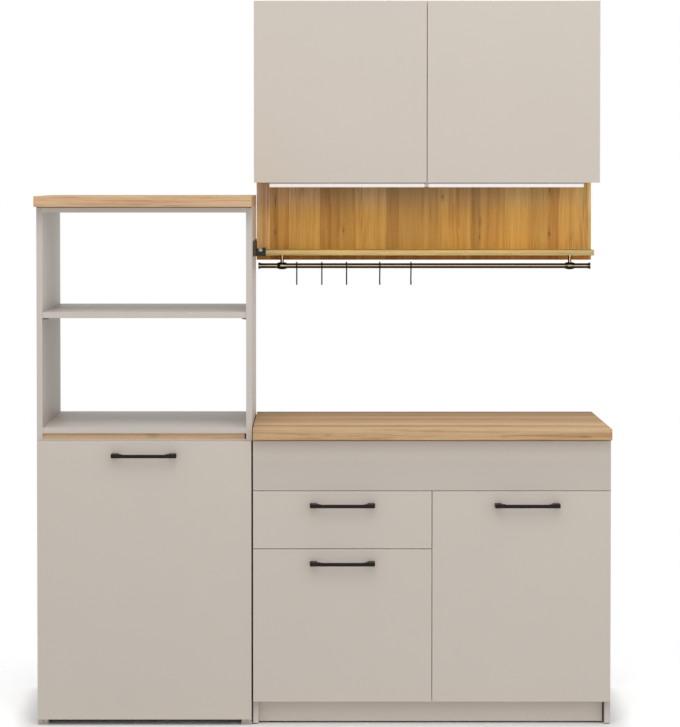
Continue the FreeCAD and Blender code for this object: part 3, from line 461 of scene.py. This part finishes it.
def anodised(name):
    """Drawn aluminium bar: fine lines along x."""
    g = Graph(name)
    x, y, z = g.place()
    lines = g.noise(g.vec(x * 6.0, y * 1400.0, z * 1400.0), 1.0, 3.0, 0.6)
    cloud = g.noise(g.vec(x, y, z), 14.0, 2.0, 0.5)
    col = g.scaled((0.186, 0.187, 0.207), lines.range(0.3, 0.7, 0.90, 1.07) * cloud.range(0.3, 0.7, 0.97, 1.03))
    rgh = lines.range(0.3, 0.7, 0.30, 0.42)
    g.bump(lines, 0.00004, 0.4)
    return g.surface(colour=col, rough=rgh, metal=1.0)


def diffuser(name):
    """Opal cover that glows; the chips behind it show as very soft spots 16.7 mm apart."""
    g = Graph(name)
    x, y, z = g.place()
    spots = (x * (2 * math.pi / 0.0167)).sin() * 0.5 + 0.5
    frost = g.noise(g.vec(x, y, z), 700.0, 2.0, 0.6)
    k = spots.range(0.0, 1.0, 0.94, 1.0) * frost.range(0.3, 0.7, 0.98, 1.0)
    low = z.range(pz(1493.5), pz(1503.5), 1.0, 0.90)
    glow = g.scaled((0.99, 0.925, 0.89), k * low)
    col = g.scaled((0.80, 0.79, 0.77), frost.range(0.3, 0.7, 0.96, 1.02))
    g.bump(frost, 0.00004, 0.3)
    return g.surface(colour=col, rough=0.36, glow=glow, glow_strength=0.46)


def hardboard(name, faces):
    """Thin back sheet: decor foil on the room side, brown pressed fibre on the wall side. faces lists
    (x lo, x hi, z lo, z hi, y of the wall side) of each sheet."""
    g = Graph(name)
    x, y, z = g.place()
    v = g.vec(x, y, z)
    fibre = g.noise(g.vec(x * 300.0, y * 300.0, z * 300.0), 1.0, 4.0, 0.7)
    mesh_a = (x * (2 * math.pi / 0.0022)).sin() * (z * (2 * math.pi / 0.0022)).sin()
    cloud = g.noise(v, 6.0, 3.0, 0.6)
    brown = g.ramp(fibre * 0.7 + cloud * 0.3, [(0.3, lin(112, 80, 52)), (0.5, lin(138, 102, 68)), (0.72, lin(158, 122, 84))])
    brown = g.scaled(brown, mesh_a.range(-1.0, 1.0, 0.94, 1.04))
    foil = g.scaled(CARCASS, cloud.range(0.3, 0.7, 0.98, 1.02))
    wall_side = None
    for (x0, x1, z0, z1, yb) in faces:
        hit = z.gt(z0 - 0.002) * z.lt(z1 + 0.002) * y.gt(yb - 0.0016)
        wall_side = hit if wall_side is None else wall_side.max(hit)
    col = g.mix(wall_side, foil, brown)
    g.bump(fibre * 0.5 + mesh_a * 0.25 * wall_side, 0.00012, 0.5)
    return g.surface(colour=col, rough=fibre.range(0.3, 0.7, 0.5, 0.66))


def drawer_wrap(name):
    """White foil over 12 mm board, with a fine linen weave."""
    g = Graph(name)
    x, y, z = g.place()
    v = g.vec(x, y, z)
    linen = (x * (2 * math.pi / 0.0016)).sin() * 0.2 + (y * (2 * math.pi / 0.0016)).sin() * 0.4 + (z * (2 * math.pi / 0.0016)).sin() * 0.4
    cloud = g.noise(v, 8.0, 3.0, 0.6)
    col = g.scaled(lin(226, 223, 218), cloud.range(0.3, 0.7, 0.975, 1.02) * linen.range(-1.0, 1.0, 0.985, 1.01))
    g.bump(linen, 0.00005, 0.4)
    return g.surface(colour=col, rough=cloud.range(0.3, 0.7, 0.40, 0.5))


# ============================================================ assign to the CAD nodes
def dress(node, mat):
    o = NODES[node]
    if not o.material_slots:
        o.data.materials.append(mat)
    for s in o.material_slots:
        s.material = mat


FRONTS = ["tall_door", "base_door_left", "base_door_right", "drawer_front", "wall_door_left", "wall_door_right",
          "base_fascia"]
# painted light and shade on the fronts: the fascia painted lighter close under the worktop, the wall doors painted a
# touch darker towards their tops
FRONT_PAINTED_LIGHT = {"base_fascia": [([(2, pz(725), pz(784))], (1.16, 1.16, 1.15))],
          "wall_door_left": [([(2, pz(1700), pz(2000))], (0.965, 0.975, 0.99))],
          "wall_door_right": [([(2, pz(1700), pz(2000))], (0.985, 0.99, 1.0))]}
for n in FRONTS:
    # painted shade: the fascia's colour is darker, for the shade under the worktop's overhang
    k = 0.905 if n == "base_fascia" else 1.0
    # the strong band tint is a painted highlight along the fronts' edges; the gap shade paints shade on their narrow
    # sides
    dress(n, laminate("cashmere_front_" + n, n, tuple(c * k for c in CASHMERE), 1, rough=0.44, band_tint_and_highlight=1.17, band_w=0.0023,
                     painted_gap_shade=0.0 if n.startswith("wall") else 0.25,
                     painted_light=FRONT_PAINTED_LIGHT.get(n, ())))

# painted light: the plinth's colour is made lighter than the fronts' to lift the shade it sits in under the doors
dress("plinth", laminate("cashmere_plinth", "plinth", lin(214, 203, 191), 1, rough=0.5))

UPRIGHT = ["tall_side_left", "tall_side_right", "base_side_left", "base_side_right", "base_divider",
           "wall_side_left", "wall_side_right"]
# painted light: the inner face of the left side is painted a touch lighter above the middle shelf and darker below it,
# the right side painted warmer next to the niche, where the lamps' light falls
SIDE_PAINTED_LIGHT = {"tall_side_left": [([(0, px(15.7), px(15.9)), (2, pz(1110), pz(1170))], (1.17, 1.19, 1.20)),
                            ([(0, px(15.7), px(15.9)), (2, pz(1170), pz(1110))], (0.885, 0.86, 0.84))],
         "tall_side_right": [([(0, px(599.7), px(599.9)), (2, pz(1280), pz(1360))], (1.12, 1.03, 0.93))]}
for n in UPRIGHT:
    dress(n, laminate("cashmere_board_" + n, n, CARCASS, 0, raw_back=True, raw_low=True, painted_light=SIDE_PAINTED_LIGHT.get(n, ())))
FLAT = ["tall_top_panel", "tall_middle_shelf", "tall_lower_shelf", "tall_housing_top", "tall_bottom", "base_bottom",
        "base_top_rails", "base_shelf", "wall_top", "wall_bottom", "wall_shelf"]
for n in FLAT:
    # painted light: the tall unit's top panel is made lighter to lift the shade under the oak top's overhang
    k = 1.15 if n == "tall_top_panel" else 1.0
    dress(n, laminate("cashmere_board_" + n, n, tuple(c * k for c in CARCASS), 2, raw_back=True))

# planks run along x on the flat boards and upright on the niche panel
# the worktop's planks darken towards the back: partly their own tones, partly painted shade; its shade entries are
# painted shade on the front face, a touch darker than the top, and a painted warmer, darker tone over the back half
dress("worktop", oak("oak_worktop", 0, 1,
                     [py(528), py(462), py(382), py(302), py(230), py(160), py(56)],
                     [1.07, 0.94, 1.10, 0.90, 0.80, 0.91, 0.67, 0.52],
                     knots=[(px(1523), py(600), pz(802.0), 0.009, 0.0026), (px(1300), py(600), pz(803.0), 0.007, 0.0018),
                            (px(812), py(600), pz(805.5), 0.012, 0.0024),
                            (px(1010), py(470), pz(823), 0.018, 0.006), (px(1330), py(205), pz(823), 0.020, 0.007)],
                     seed=3.0, cathedral=(1, 4), contrast=1.2, redder=0.10, rough=0.62, spec=0.08, grain=1.25, knot=0.45,
                     shade=[(1, py(599.4), py(599.8), (0.96, 0.955, 0.925)), (1, py(430), py(250), (0.99, 0.94, 0.83))]))
dress("tall_oak_top", oak("oak_tall_top", 0, 1, [py(505), py(410), py(300), py(215), py(110)],
                          [1.10, 1.00, 1.05, 0.96, 1.03, 1.0],
                          knots=[(px(240), py(350), pz(1470), 0.020, 0.007), (px(430), py(150), pz(1470), 0.016, 0.006)],
                          seed=19.0, cathedral=(1, 3)))
dress("tall_oak_cover", oak("oak_cover", 0, 1, [py(470), py(360), py(240), py(130)],
                            [1.12, 1.09, 1.14, 1.07, 1.11],
                            knots=[(px(322), py(557), pz(804), 0.009, 0.0035)], seed=31.0))
NF = py(16)
NICHE_CUTS = [px(c) for c in (642, 698, 791, 896, 989, 1025, 1074, 1152, 1240, 1267, 1340, 1412, 1466, 1500, 1588)]
# the niche's palette is more saturated than the other oak: partly painted warm lamp light; plank 0 at the left end,
# beyond the lamps, is tinted back paler and bluer. Its shade entries are painted lamp warmth below the top band and
# painted shade on the strip under the shelf; the painted light list tones the planks of the top band, where the lamps'
# glow fades, as painted light
dress("niche_panel", oak("oak_niche", 2, 0, NICHE_CUTS,
                         [1.19, 1.12, 1.15, 0.89, 1.07, 0.77, 0.92, 0.93, 1.12, 0.86, 1.02, 1.14, 1.06, 1.07, 1.39, 1.46],
                         knots=[(pz(1452), px(658), NF, 0.022, 0.0030), (pz(1359.5), px(658), NF, 0.005, 0.003),
                                (pz(1365), px(861), NF, 0.012, 0.0025), (pz(1464), px(1155), NF, 0.009, 0.0035),
                                (pz(1390), px(1267), NF, 0.020, 0.0028), (pz(1345), px(1266), NF, 0.010, 0.0025),
                                (pz(1353.5), px(1473), NF, 0.009, 0.0035), (pz(1485), px(1474), NF, 0.012, 0.003)],
                         seed=52.0, joint=0.34, cathedral=(2, 4, 14), contrast=0.88, redder=0.10, grain=0.55,
                         palette=(lin(150, 111, 68), lin(182, 146, 94), lin(198, 168, 115)),
                         tints={0: (1.37, 1.60, 3.00), 1: (1.03, 0.98, 0.97), 2: (1.0, 1.02, 1.15), 3: (1.0, 0.97, 0.95),
                                4: (1.0, 1.02, 1.08), 5: (1.02, 0.95, 0.88), 10: (1.0, 0.94, 0.88), 13: (1.0, 0.91, 0.74),
                                14: (1.0, 0.95, 0.85)},
                         shade=[(2, pz(1452.0), pz(1414.0), (1.03, 1.0, 0.69)),
                                (2, pz(1293.2), pz(1291.6), (0.92, 0.60, 0.17))],
                         painted_light=[([(0, px(x0 - 4), px(x0 + 4)), (0, px(x1 + 4), px(x1 - 4)), (2, pz(1398), pz(1450))], c) for x0, x1, c in
                                 ((590, 642, (0.87, 0.80, 0.68)), (642, 790, (1.07, 1.13, 1.33)), (896, 989, (1.08, 1.14, 1.28)),
                                  (1120, 1210, (1.12, 1.16, 1.19)), (1340, 1412, (1.10, 1.13, 1.10)),
                                  (1412, 1588, (1.08, 1.08, 0.98)),
                                  (1588, 1610, (1.40, 1.45, 1.55)))]))
# painted shade: the shelf's top face is darker than its front
dress("niche_shelf", oak("oak_niche_shelf", 0, 1, [py(60)], [1.02, 0.97], seed=71.0, redder=0.0,
                         palette=(lin(174, 150, 98), lin(198, 178, 124), lin(210, 193, 140)),
                         shade=[(2, pz(1308.25), pz(1308.42), (0.55, 0.50, 0.45))]))

HANDLE_BLACK = powder_black("black_handle", 0.0060, 0.40, 0.09, (1.85, 1.42, 1.14))
for n in ("tall_handle", "base_left_handle", "base_right_handle", "drawer_handle"):
    dress(n, HANDLE_BLACK)
dress("shelf_bracket", powder_black("black_bracket", 0.026, 0.45, 0.22))
dress("rail_tube", dark_chrome("rail_nickel", stretch=0))
dress("rail_fittings", dark_chrome("rail_nickel_fittings", stretch=2))
HOOK = dark_chrome("hook_nickel", (0.020, 0.014, 0.007), 0.30, 2)
for i in range(1, 6):
    dress("hook_%d" % i, HOOK)

STEEL = plated("plated_steel")
for n in ("tall_hinge_cups", "base_left_hinge_cups", "base_right_hinge_cups", "wall_left_hinge_cups",
          "wall_right_hinge_cups", "hinge_arms", "shelf_pins", "wall_hanging_rail"):
    dress(n, STEEL)
ZINC = plated("zinc_runner", (0.70, 0.71, 0.72), 0.34)
for n in ("runner_cabinet_members", "runner_middle_members", "runner_drawer_members"):
    dress(n, ZINC)
dress("led_housings", anodised("anodised_bar"))
dress("led_diffusers", diffuser("opal_cover"))
dress("floor_feet", plastic("foot_plastic", lin(196, 188, 178), 0.5))
b0, b1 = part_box("back_sheets")
dress("back_sheets", hardboard("hardboard_back", [
    (px(603), px(1601), 0.068, 0.799, py(0)), (px(616), px(1580), pz(1524), pz(2014), py(16))]))
dress("drawer_walls", drawer_wrap("drawer_foil"))
dress("drawer_bottom", drawer_wrap("drawer_foil_bottom"))


# ============================================================ small radius on the cut boards
def soften(node, width, segments=2):
    """Welds the imported face borders and breaks the sharp edges, as a real edge band has."""
    o = NODES[node]
    w = o.modifiers.new("weld", "WELD")
    w.merge_threshold = 0.00001
    b = o.modifiers.new("edge", "BEVEL")
    b.width = width
    b.segments = segments
    b.limit_method = "ANGLE"
    b.angle_limit = math.radians(50)
    b.harden_normals = False
    b.use_clamp_overlap = True
    n = o.modifiers.new("normals", "WEIGHTED_NORMAL")
    n.keep_sharp = False
    n.weight = 100


for n in ("tall_top_panel", "tall_middle_shelf", "tall_lower_shelf", "tall_housing_top", "tall_bottom",
          "base_bottom", "base_shelf", "wall_top", "wall_bottom", "wall_shelf", "plinth", "base_fascia"):
    soften(n, 0.0005)
for n in ("tall_oak_cover", "niche_panel"):
    soften(n, 0.0006)
soften("led_diffusers", 0.0026, 4)


# ============================================================ mesh helpers
def mesh_object(name, bm, mat, smooth=True):
    me = bpy.data.meshes.new(name)
    bm.normal_update()
    bm.to_mesh(me)
    bm.free()
    if smooth:
        for p in me.polygons:
            p.use_smooth = True
        me.set_sharp_from_angle(angle=math.radians(38))
    me.materials.append(mat)
    o = bpy.data.objects.new(name, me)
    bpy.context.scene.collection.objects.link(o)
    return o


def rounded_box(bm, lo, hi, r, seg=3):
    """Adds a box with rounded edges to bm."""
    lo, hi = Vector(lo), Vector(hi)
    made = bmesh.ops.create_cube(bm, size=1.0)
    verts = made["verts"]
    mid, size = (lo + hi) / 2, hi - lo
    for v in verts:
        v.co = Vector((v.co.x * size.x, v.co.y * size.y, v.co.z * size.z)) + mid
    edges = list({e for v in verts for e in v.link_edges})
    bmesh.ops.bevel(bm, geom=edges, offset=r, segments=seg, profile=0.5, affect="EDGES")


def lathe(bm, profile, origin, axis, steps=32):
    """Turns (radius, height) pairs round an axis through origin."""
    axis = Vector(axis).normalized()
    side = axis.orthogonal().normalized()
    other = axis.cross(side)
    rings = []
    for r, h in profile:
        if r < 1e-7:
            rings.append([bm.verts.new(Vector(origin) + axis * h)])
            continue
        rings.append([bm.verts.new(Vector(origin) + axis * h
                                   + (side * math.cos(2 * math.pi * i / steps) + other * math.sin(2 * math.pi * i / steps)) * r)
                      for i in range(steps)])
    for a, b in zip(rings, rings[1:]):
        if len(a) == 1 and len(b) == 1:
            continue
        for i in range(steps):
            j = (i + 1) % steps
            if len(a) == 1:
                bm.faces.new((a[0], b[i], b[j]))
            elif len(b) == 1:
                bm.faces.new((a[i], b[0], a[j]))
            else:
                bm.faces.new((a[i], b[i], b[j], a[j]))


WHITE_PLASTIC = plastic("white_plastic", lin(236, 233, 228), 0.38)
GLIDE_PLASTIC = plastic("glide_plastic", lin(205, 197, 188), 0.45)
CLEAR_DOT = plastic("bumper_plastic", lin(214, 212, 206), 0.25)


# ------------------------------------------------------------ light bars: joint piece
bm = bmesh.new()
x0, x1 = px(1092) + 0.0002, px(1103) - 0.0002
rounded_box(bm, (x0, 0.0290, pz(1495.0)), (x1, 0.0420, pz(1507.6)), 0.0016, 3)
for k in range(4):
    xr = x0 + 0.0018 + k * 0.0024
    rounded_box(bm, (xr, 0.0282, pz(1494.2)), (xr + 0.0011, 0.0428, pz(1507.0)), 0.0004, 2)
o = mesh_object("light_bar_joint", bm, WHITE_PLASTIC)
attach(o, "cabinets")

# ------------------------------------------------------------ bracket: pale stop in the notch
bm = bmesh.new()
lathe(bm, [(0.0, 0.0042), (0.0018, 0.0040), (0.0034, 0.0031), (0.0042, 0.0016), (0.0044, 0.0), (0.0044, -0.0020), (0.0, -0.0020)],
      (0, 0, 0), (0, -1, 0), 36)
for v in bm.verts:
    v.co = Vector((px(615.2) + v.co.x * 1.28, py(115.3) + v.co.y, pz(1307.6) + v.co.z * 0.92))
o = mesh_object("bracket_stop", bm, WHITE_PLASTIC)
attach(o, "cabinets")

# ------------------------------------------------------------ painted shade: a thin dark strip under the tall unit's oak top, standing for the shadow line there
bm = bmesh.new()
rounded_box(bm, (px(0.3), py(560.9), pz(1437.7)), (px(599.7), py(559.4), pz(1439.96)), 0.0004, 3)
for k in range(2):
    rounded_box(bm, (px(0.5), py(561.25), pz(1438.0 + k * 1.05)), (px(599.5), py(560.6), pz(1438.55 + k * 1.05)), 0.0002, 2)
o = mesh_object("top_shadow_line_strip", bm, plastic("shadow_line_paint", lin(92, 84, 76), 0.6))
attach(o, "cabinets")

# ------------------------------------------------------------ painted shade: a dark strip in the gap between the tall unit and the base unit, which darkens the gap
GAP_SHADE_PLASTIC = plastic("gap_shade_dark", lin(62, 51, 43), 0.75)
bm = bmesh.new()
rounded_box(bm, (px(600.12), py(560.6), 0.0062), (px(601.88), py(545.0), 0.7955), 0.0004, 2)
rounded_box(bm, (px(598.75), py(560.95), 0.0062), (px(603.25), py(559.9), 0.7955), 0.0004, 3)
for k in range(2):
    rounded_box(bm, (px(599.3 + k * 2.7), py(561.3), 0.0068), (px(600.0 + k * 2.7), py(560.7), 0.7949), 0.0002, 2)
o = mesh_object("unit_gap_shade_strip", bm, GAP_SHADE_PLASTIC)
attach(o, "cabinets")

# ------------------------------------------------------------ painted shade: a dark strip on the divider, behind the drawer's right edge, which darkens the gap there
bm = bmesh.new()
rounded_box(bm, (px(1100.35), py(561.3), 0.4965), (px(1103.65), py(559.95), 0.6545), 0.0005, 3)
for k in range(2):
    rounded_box(bm, (px(1100.9 + k * 1.3), py(561.55), 0.4972), (px(1101.8 + k * 1.3), py(561.1), 0.6538), 0.0002, 2)
o = mesh_object("divider_gap_shade_strip", bm, plastic("gap_shade_black", lin(26, 22, 20), 0.9))
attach(o, "cabinets")

# ------------------------------------------------------------ small pads under the middle shelf's front corners
bm = bmesh.new()
for xa, xb in ((px(16.7), px(34.3)), (px(572.2), px(583.4))):
    rounded_box(bm, (xa, py(559.2), 1.1345), (xb, py(541.0), 1.1372), 0.0007, 3)
    rounded_box(bm, (xa + 0.002, py(557.2), 1.1339), (xb - 0.002, py(543.0), 1.1347), 0.0003, 2)
o = mesh_object("shelf_corner_pads", bm, plastic("shelf_pad", lin(78, 70, 64), 0.55))
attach(o, "cabinets")

# ------------------------------------------------------------ corner blocks under the tall unit's bottom panel
bm = bmesh.new()
for xa, xb in ((px(16.4), px(30.0)), (px(570.0), px(583.6))):
    for da, db in ((505.0, 559.6), (6.0, 57.0)):
        rounded_box(bm, (xa, py(db), 0.0044), (xb, py(da), 0.0157), 0.0008, 3)
        rounded_box(bm, (xa + 0.003, py(db - 12), 0.0150), (xb - 0.003, py(da + 8), 0.0159), 0.0003, 2)
o = mesh_object("tall_corner_blocks", bm, GLIDE_PLASTIC)
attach(o, "cabinets")

# ------------------------------------------------------------ bumper dots on the backs of the fronts
DOME = [(0.0, 0.0014), (0.0016, 0.0013), (0.0030, 0.0009), (0.0038, 0.0003), (0.0040, -0.0001), (0.0, -0.0001)]


def dots(name, body, places):
    bm = bmesh.new()
    for (x, y, z) in places:
        lathe(bm, DOME, (x, y, z), (0, 1, 0), 28)
    o = mesh_object(name, bm, CLEAR_DOT)
    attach(o, body)


DOOR_BACK = -0.2555
WDOOR_BACK = 0.0225
dots("tall_door_bumpers", "tall_door_leaf", [(px(591), DOOR_BACK, pz(779.0)), (px(591), DOOR_BACK, 0.0245)])
dots("base_left_bumpers", "base_left_leaf", [(px(1096), DOOR_BACK, pz(476.0)), (px(1096), DOOR_BACK, 0.0755)])
dots("base_right_bumpers", "base_right_leaf", [(px(1108), DOOR_BACK, pz(638.0)), (px(1108), DOOR_BACK, 0.0755)])
dots("drawer_bumpers", "drawer_box", [(px(610), DOOR_BACK, pz(638.0)), (px(1096), DOOR_BACK, pz(638.0))])
dots("wall_left_bumpers", "wall_left_leaf", [(px(1088), WDOOR_BACK, pz(2021.5)), (px(1088), WDOOR_BACK, pz(1515.5))])
dots("wall_right_bumpers", "wall_right_leaf", [(px(1108), WDOOR_BACK, pz(2021.5)), (px(1108), WDOOR_BACK, pz(1515.5))])


# ============================================================ floor, light, camera
def floor():
    bm = bmesh.new()
    rings, seg = [0.0, 1.5, 3.0, 5.0, 7.0, 9.0], 96
    prev = None
    centre = bm.verts.new((0, 0, 0))
    for r in rings[1:]:
        cur = [bm.verts.new((r * math.cos(2 * math.pi * i / seg), r * math.sin(2 * math.pi * i / seg), 0)) for i in range(seg)]
        for i in range(seg):
            j = (i + 1) % seg
            if prev is None:
                bm.faces.new((centre, cur[i], cur[j]))
            else:
                bm.faces.new((prev[i], cur[i], cur[j], prev[j]))
        prev = cur
    g = Graph("pale_floor")
    x, y, z = g.place()
    mottle = g.noise(g.vec(x, y, z), 3.0, 4.0, 0.6)
    fine = g.noise(g.vec(x, y, z), 120.0, 3.0, 0.6)
    col = g.scaled((0.93, 0.93, 0.925), mottle.range(0.3, 0.7, 0.985, 1.01))
    # distance outside the unit's footprint, in metres
    dx = (x.abs() - 0.80).max(0.0)
    dy = (y.abs() - 0.28).max(0.0)
    d = (dx * dx + dy * dy).pow(0.5)
    g.bump(fine, 0.0002, 0.2)
    # the studio white round the unit sends no light back up on to its fronts
    path = g.add("ShaderNodeLightPath")
    bounce = S(g, path.outputs["Is Diffuse Ray"]) * d.range(0.0, 0.04)
    g.surface(colour=col, rough=0.6, spec=0.1, alpha=d.range(0.06, 0.70, 1.0, 0.0, smooth=True) * (1.0 - bounce),
              glow=(1.0, 1.0, 1.0), glow_strength=d.range(0.0, 0.10, 0.0, 0.36, smooth=True))
    o = mesh_object("studio_floor", bm, g.mat, smooth=False)
    o.location = (0, 0, -0.0002)


floor()

world = bpy.data.worlds.new("studio")
bpy.context.scene.world = world
world.use_nodes = True
wt = world.node_tree
wt.nodes.clear()
wo = wt.nodes.new("ShaderNodeOutputWorld")
ray = wt.nodes.new("ShaderNodeLightPath")


def sky(colour, strength):
    n = wt.nodes.new("ShaderNodeBackground")
    n.inputs[0].default_value = (*colour, 1.0)
    n.inputs[1].default_value = strength
    return n.outputs[0]


def choose(fac, a, b):
    n = wt.nodes.new("ShaderNodeMixShader")
    wt.links.new(fac, n.inputs[0])
    wt.links.new(a, n.inputs[1])
    wt.links.new(b, n.inputs[2])
    return n.outputs[0]


# a white studio: full white to the lens, softer as fill light, and dim where a gloss looks past the soft boxes
soft = choose(ray.outputs["Is Glossy Ray"], sky((0.98, 0.99, 1.0), 0.58), sky((1.0, 1.0, 1.0), 0.96))
wt.links.new(choose(ray.outputs["Is Camera Ray"], soft, sky((1.0, 1.0, 1.0), 1.0)), wo.inputs[0])


def area(name, at, aim, size, power, colour=(1, 1, 1), size_y=None, spread=180.0):
    d = bpy.data.lights.new(name, "AREA")
    d.energy = power
    d.color = colour
    d.shape = "RECTANGLE" if size_y else "SQUARE"
    d.size = size
    if size_y:
        d.size_y = size_y
    d.spread = math.radians(spread)
    o = bpy.data.objects.new(name, d)
    bpy.context.scene.collection.objects.link(o)
    o.location = at
    o.rotation_mode = "QUATERNION"
    o.rotation_quaternion = (Vector(aim) - Vector(at)).to_track_quat("-Z", "Y")
    o.visible_camera = False
    return o


overhead = area("overhead", (0.0, -2.6, 5.4), (0.0, -0.3, 0.9), 2.6, 73.5)
# the thin handles throw no hard shade of this light on to the fronts; the other lights still draw a faint one
thin = bpy.data.collections.new("thin_handles")
for n in ("tall_handle", "base_left_handle", "base_right_handle", "drawer_handle"):
    thin.objects.link(NODES[n])
for link in thin.collection_objects:
    link.light_linking.link_state = "EXCLUDE"
overhead.light_linking.blocker_collection = thin
area("top_front", (0.0, -4.2, 5.2), (0.0, -0.1, 0.9), 3.0, 43.0)
area("fill_right", (3.4, -2.8, 1.7), (-0.3, 0.0, 1.2), 2.4, 18.3, colour=(0.94, 0.97, 1.0))
# a broad white screen that only the glosses see: it draws the bright line along the round rail and the handles
screen = area("gloss_screen", (0.2, -5.0, 1.6), (0.2, 0.0, 1.35), 6.0, 154.0, size_y=5.4)
screen.visible_diffuse = False

# one long soft strip in front of the rail, which only the bright metals take up
metals = bpy.data.collections.new("bright_metals")
for n in ("rail_tube", "rail_fittings"):
    metals.objects.link(NODES[n])
strip = area("rail_strip", (1.5, -4.6, 1.50), (1.5, 0.2, 1.27), 5.4, 1400.0, colour=(1.0, 0.90, 0.72), size_y=2.2)
strip.light_linking.receiver_collection = metals

# warm light from the two bars on to the niche; its colour is the lamps' own
for k in range(2):
    x = px(644 + 224 + 459 * k)
    glow_bar = area("bar_glow_%d" % k, (x, 0.0355, pz(1493.0)), (x, 0.0355 + 0.80, pz(1493.0) - 0.66), 0.440, 0.34,
                    colour=(1.0, 0.66, 0.09), size_y=0.014, spread=84.0)
    glow_bar.visible_glossy = False

cam = bpy.data.cameras.new("camera")
cam.sensor_width = 36.0
cam.sensor_fit = "AUTO"
FOCAL_PX = 2832.6
cam.lens = FOCAL_PX * 36.0 / 727.0
cam.shift_x = 0.0326
cam.shift_y = -0.137
cam.clip_start, cam.clip_end = 0.1, 60.0
co = bpy.data.objects.new("camera", cam)
bpy.context.scene.collection.objects.link(co)
co.location = (px(779.6), py(8444.2), 1.52635)
co.rotation_euler = (math.pi / 2 - 0.0302, 0.0, 0.0)
bpy.context.scene.camera = co

bpy.context.scene.view_settings.view_transform = "Standard"
bpy.context.scene.view_settings.look = "None"
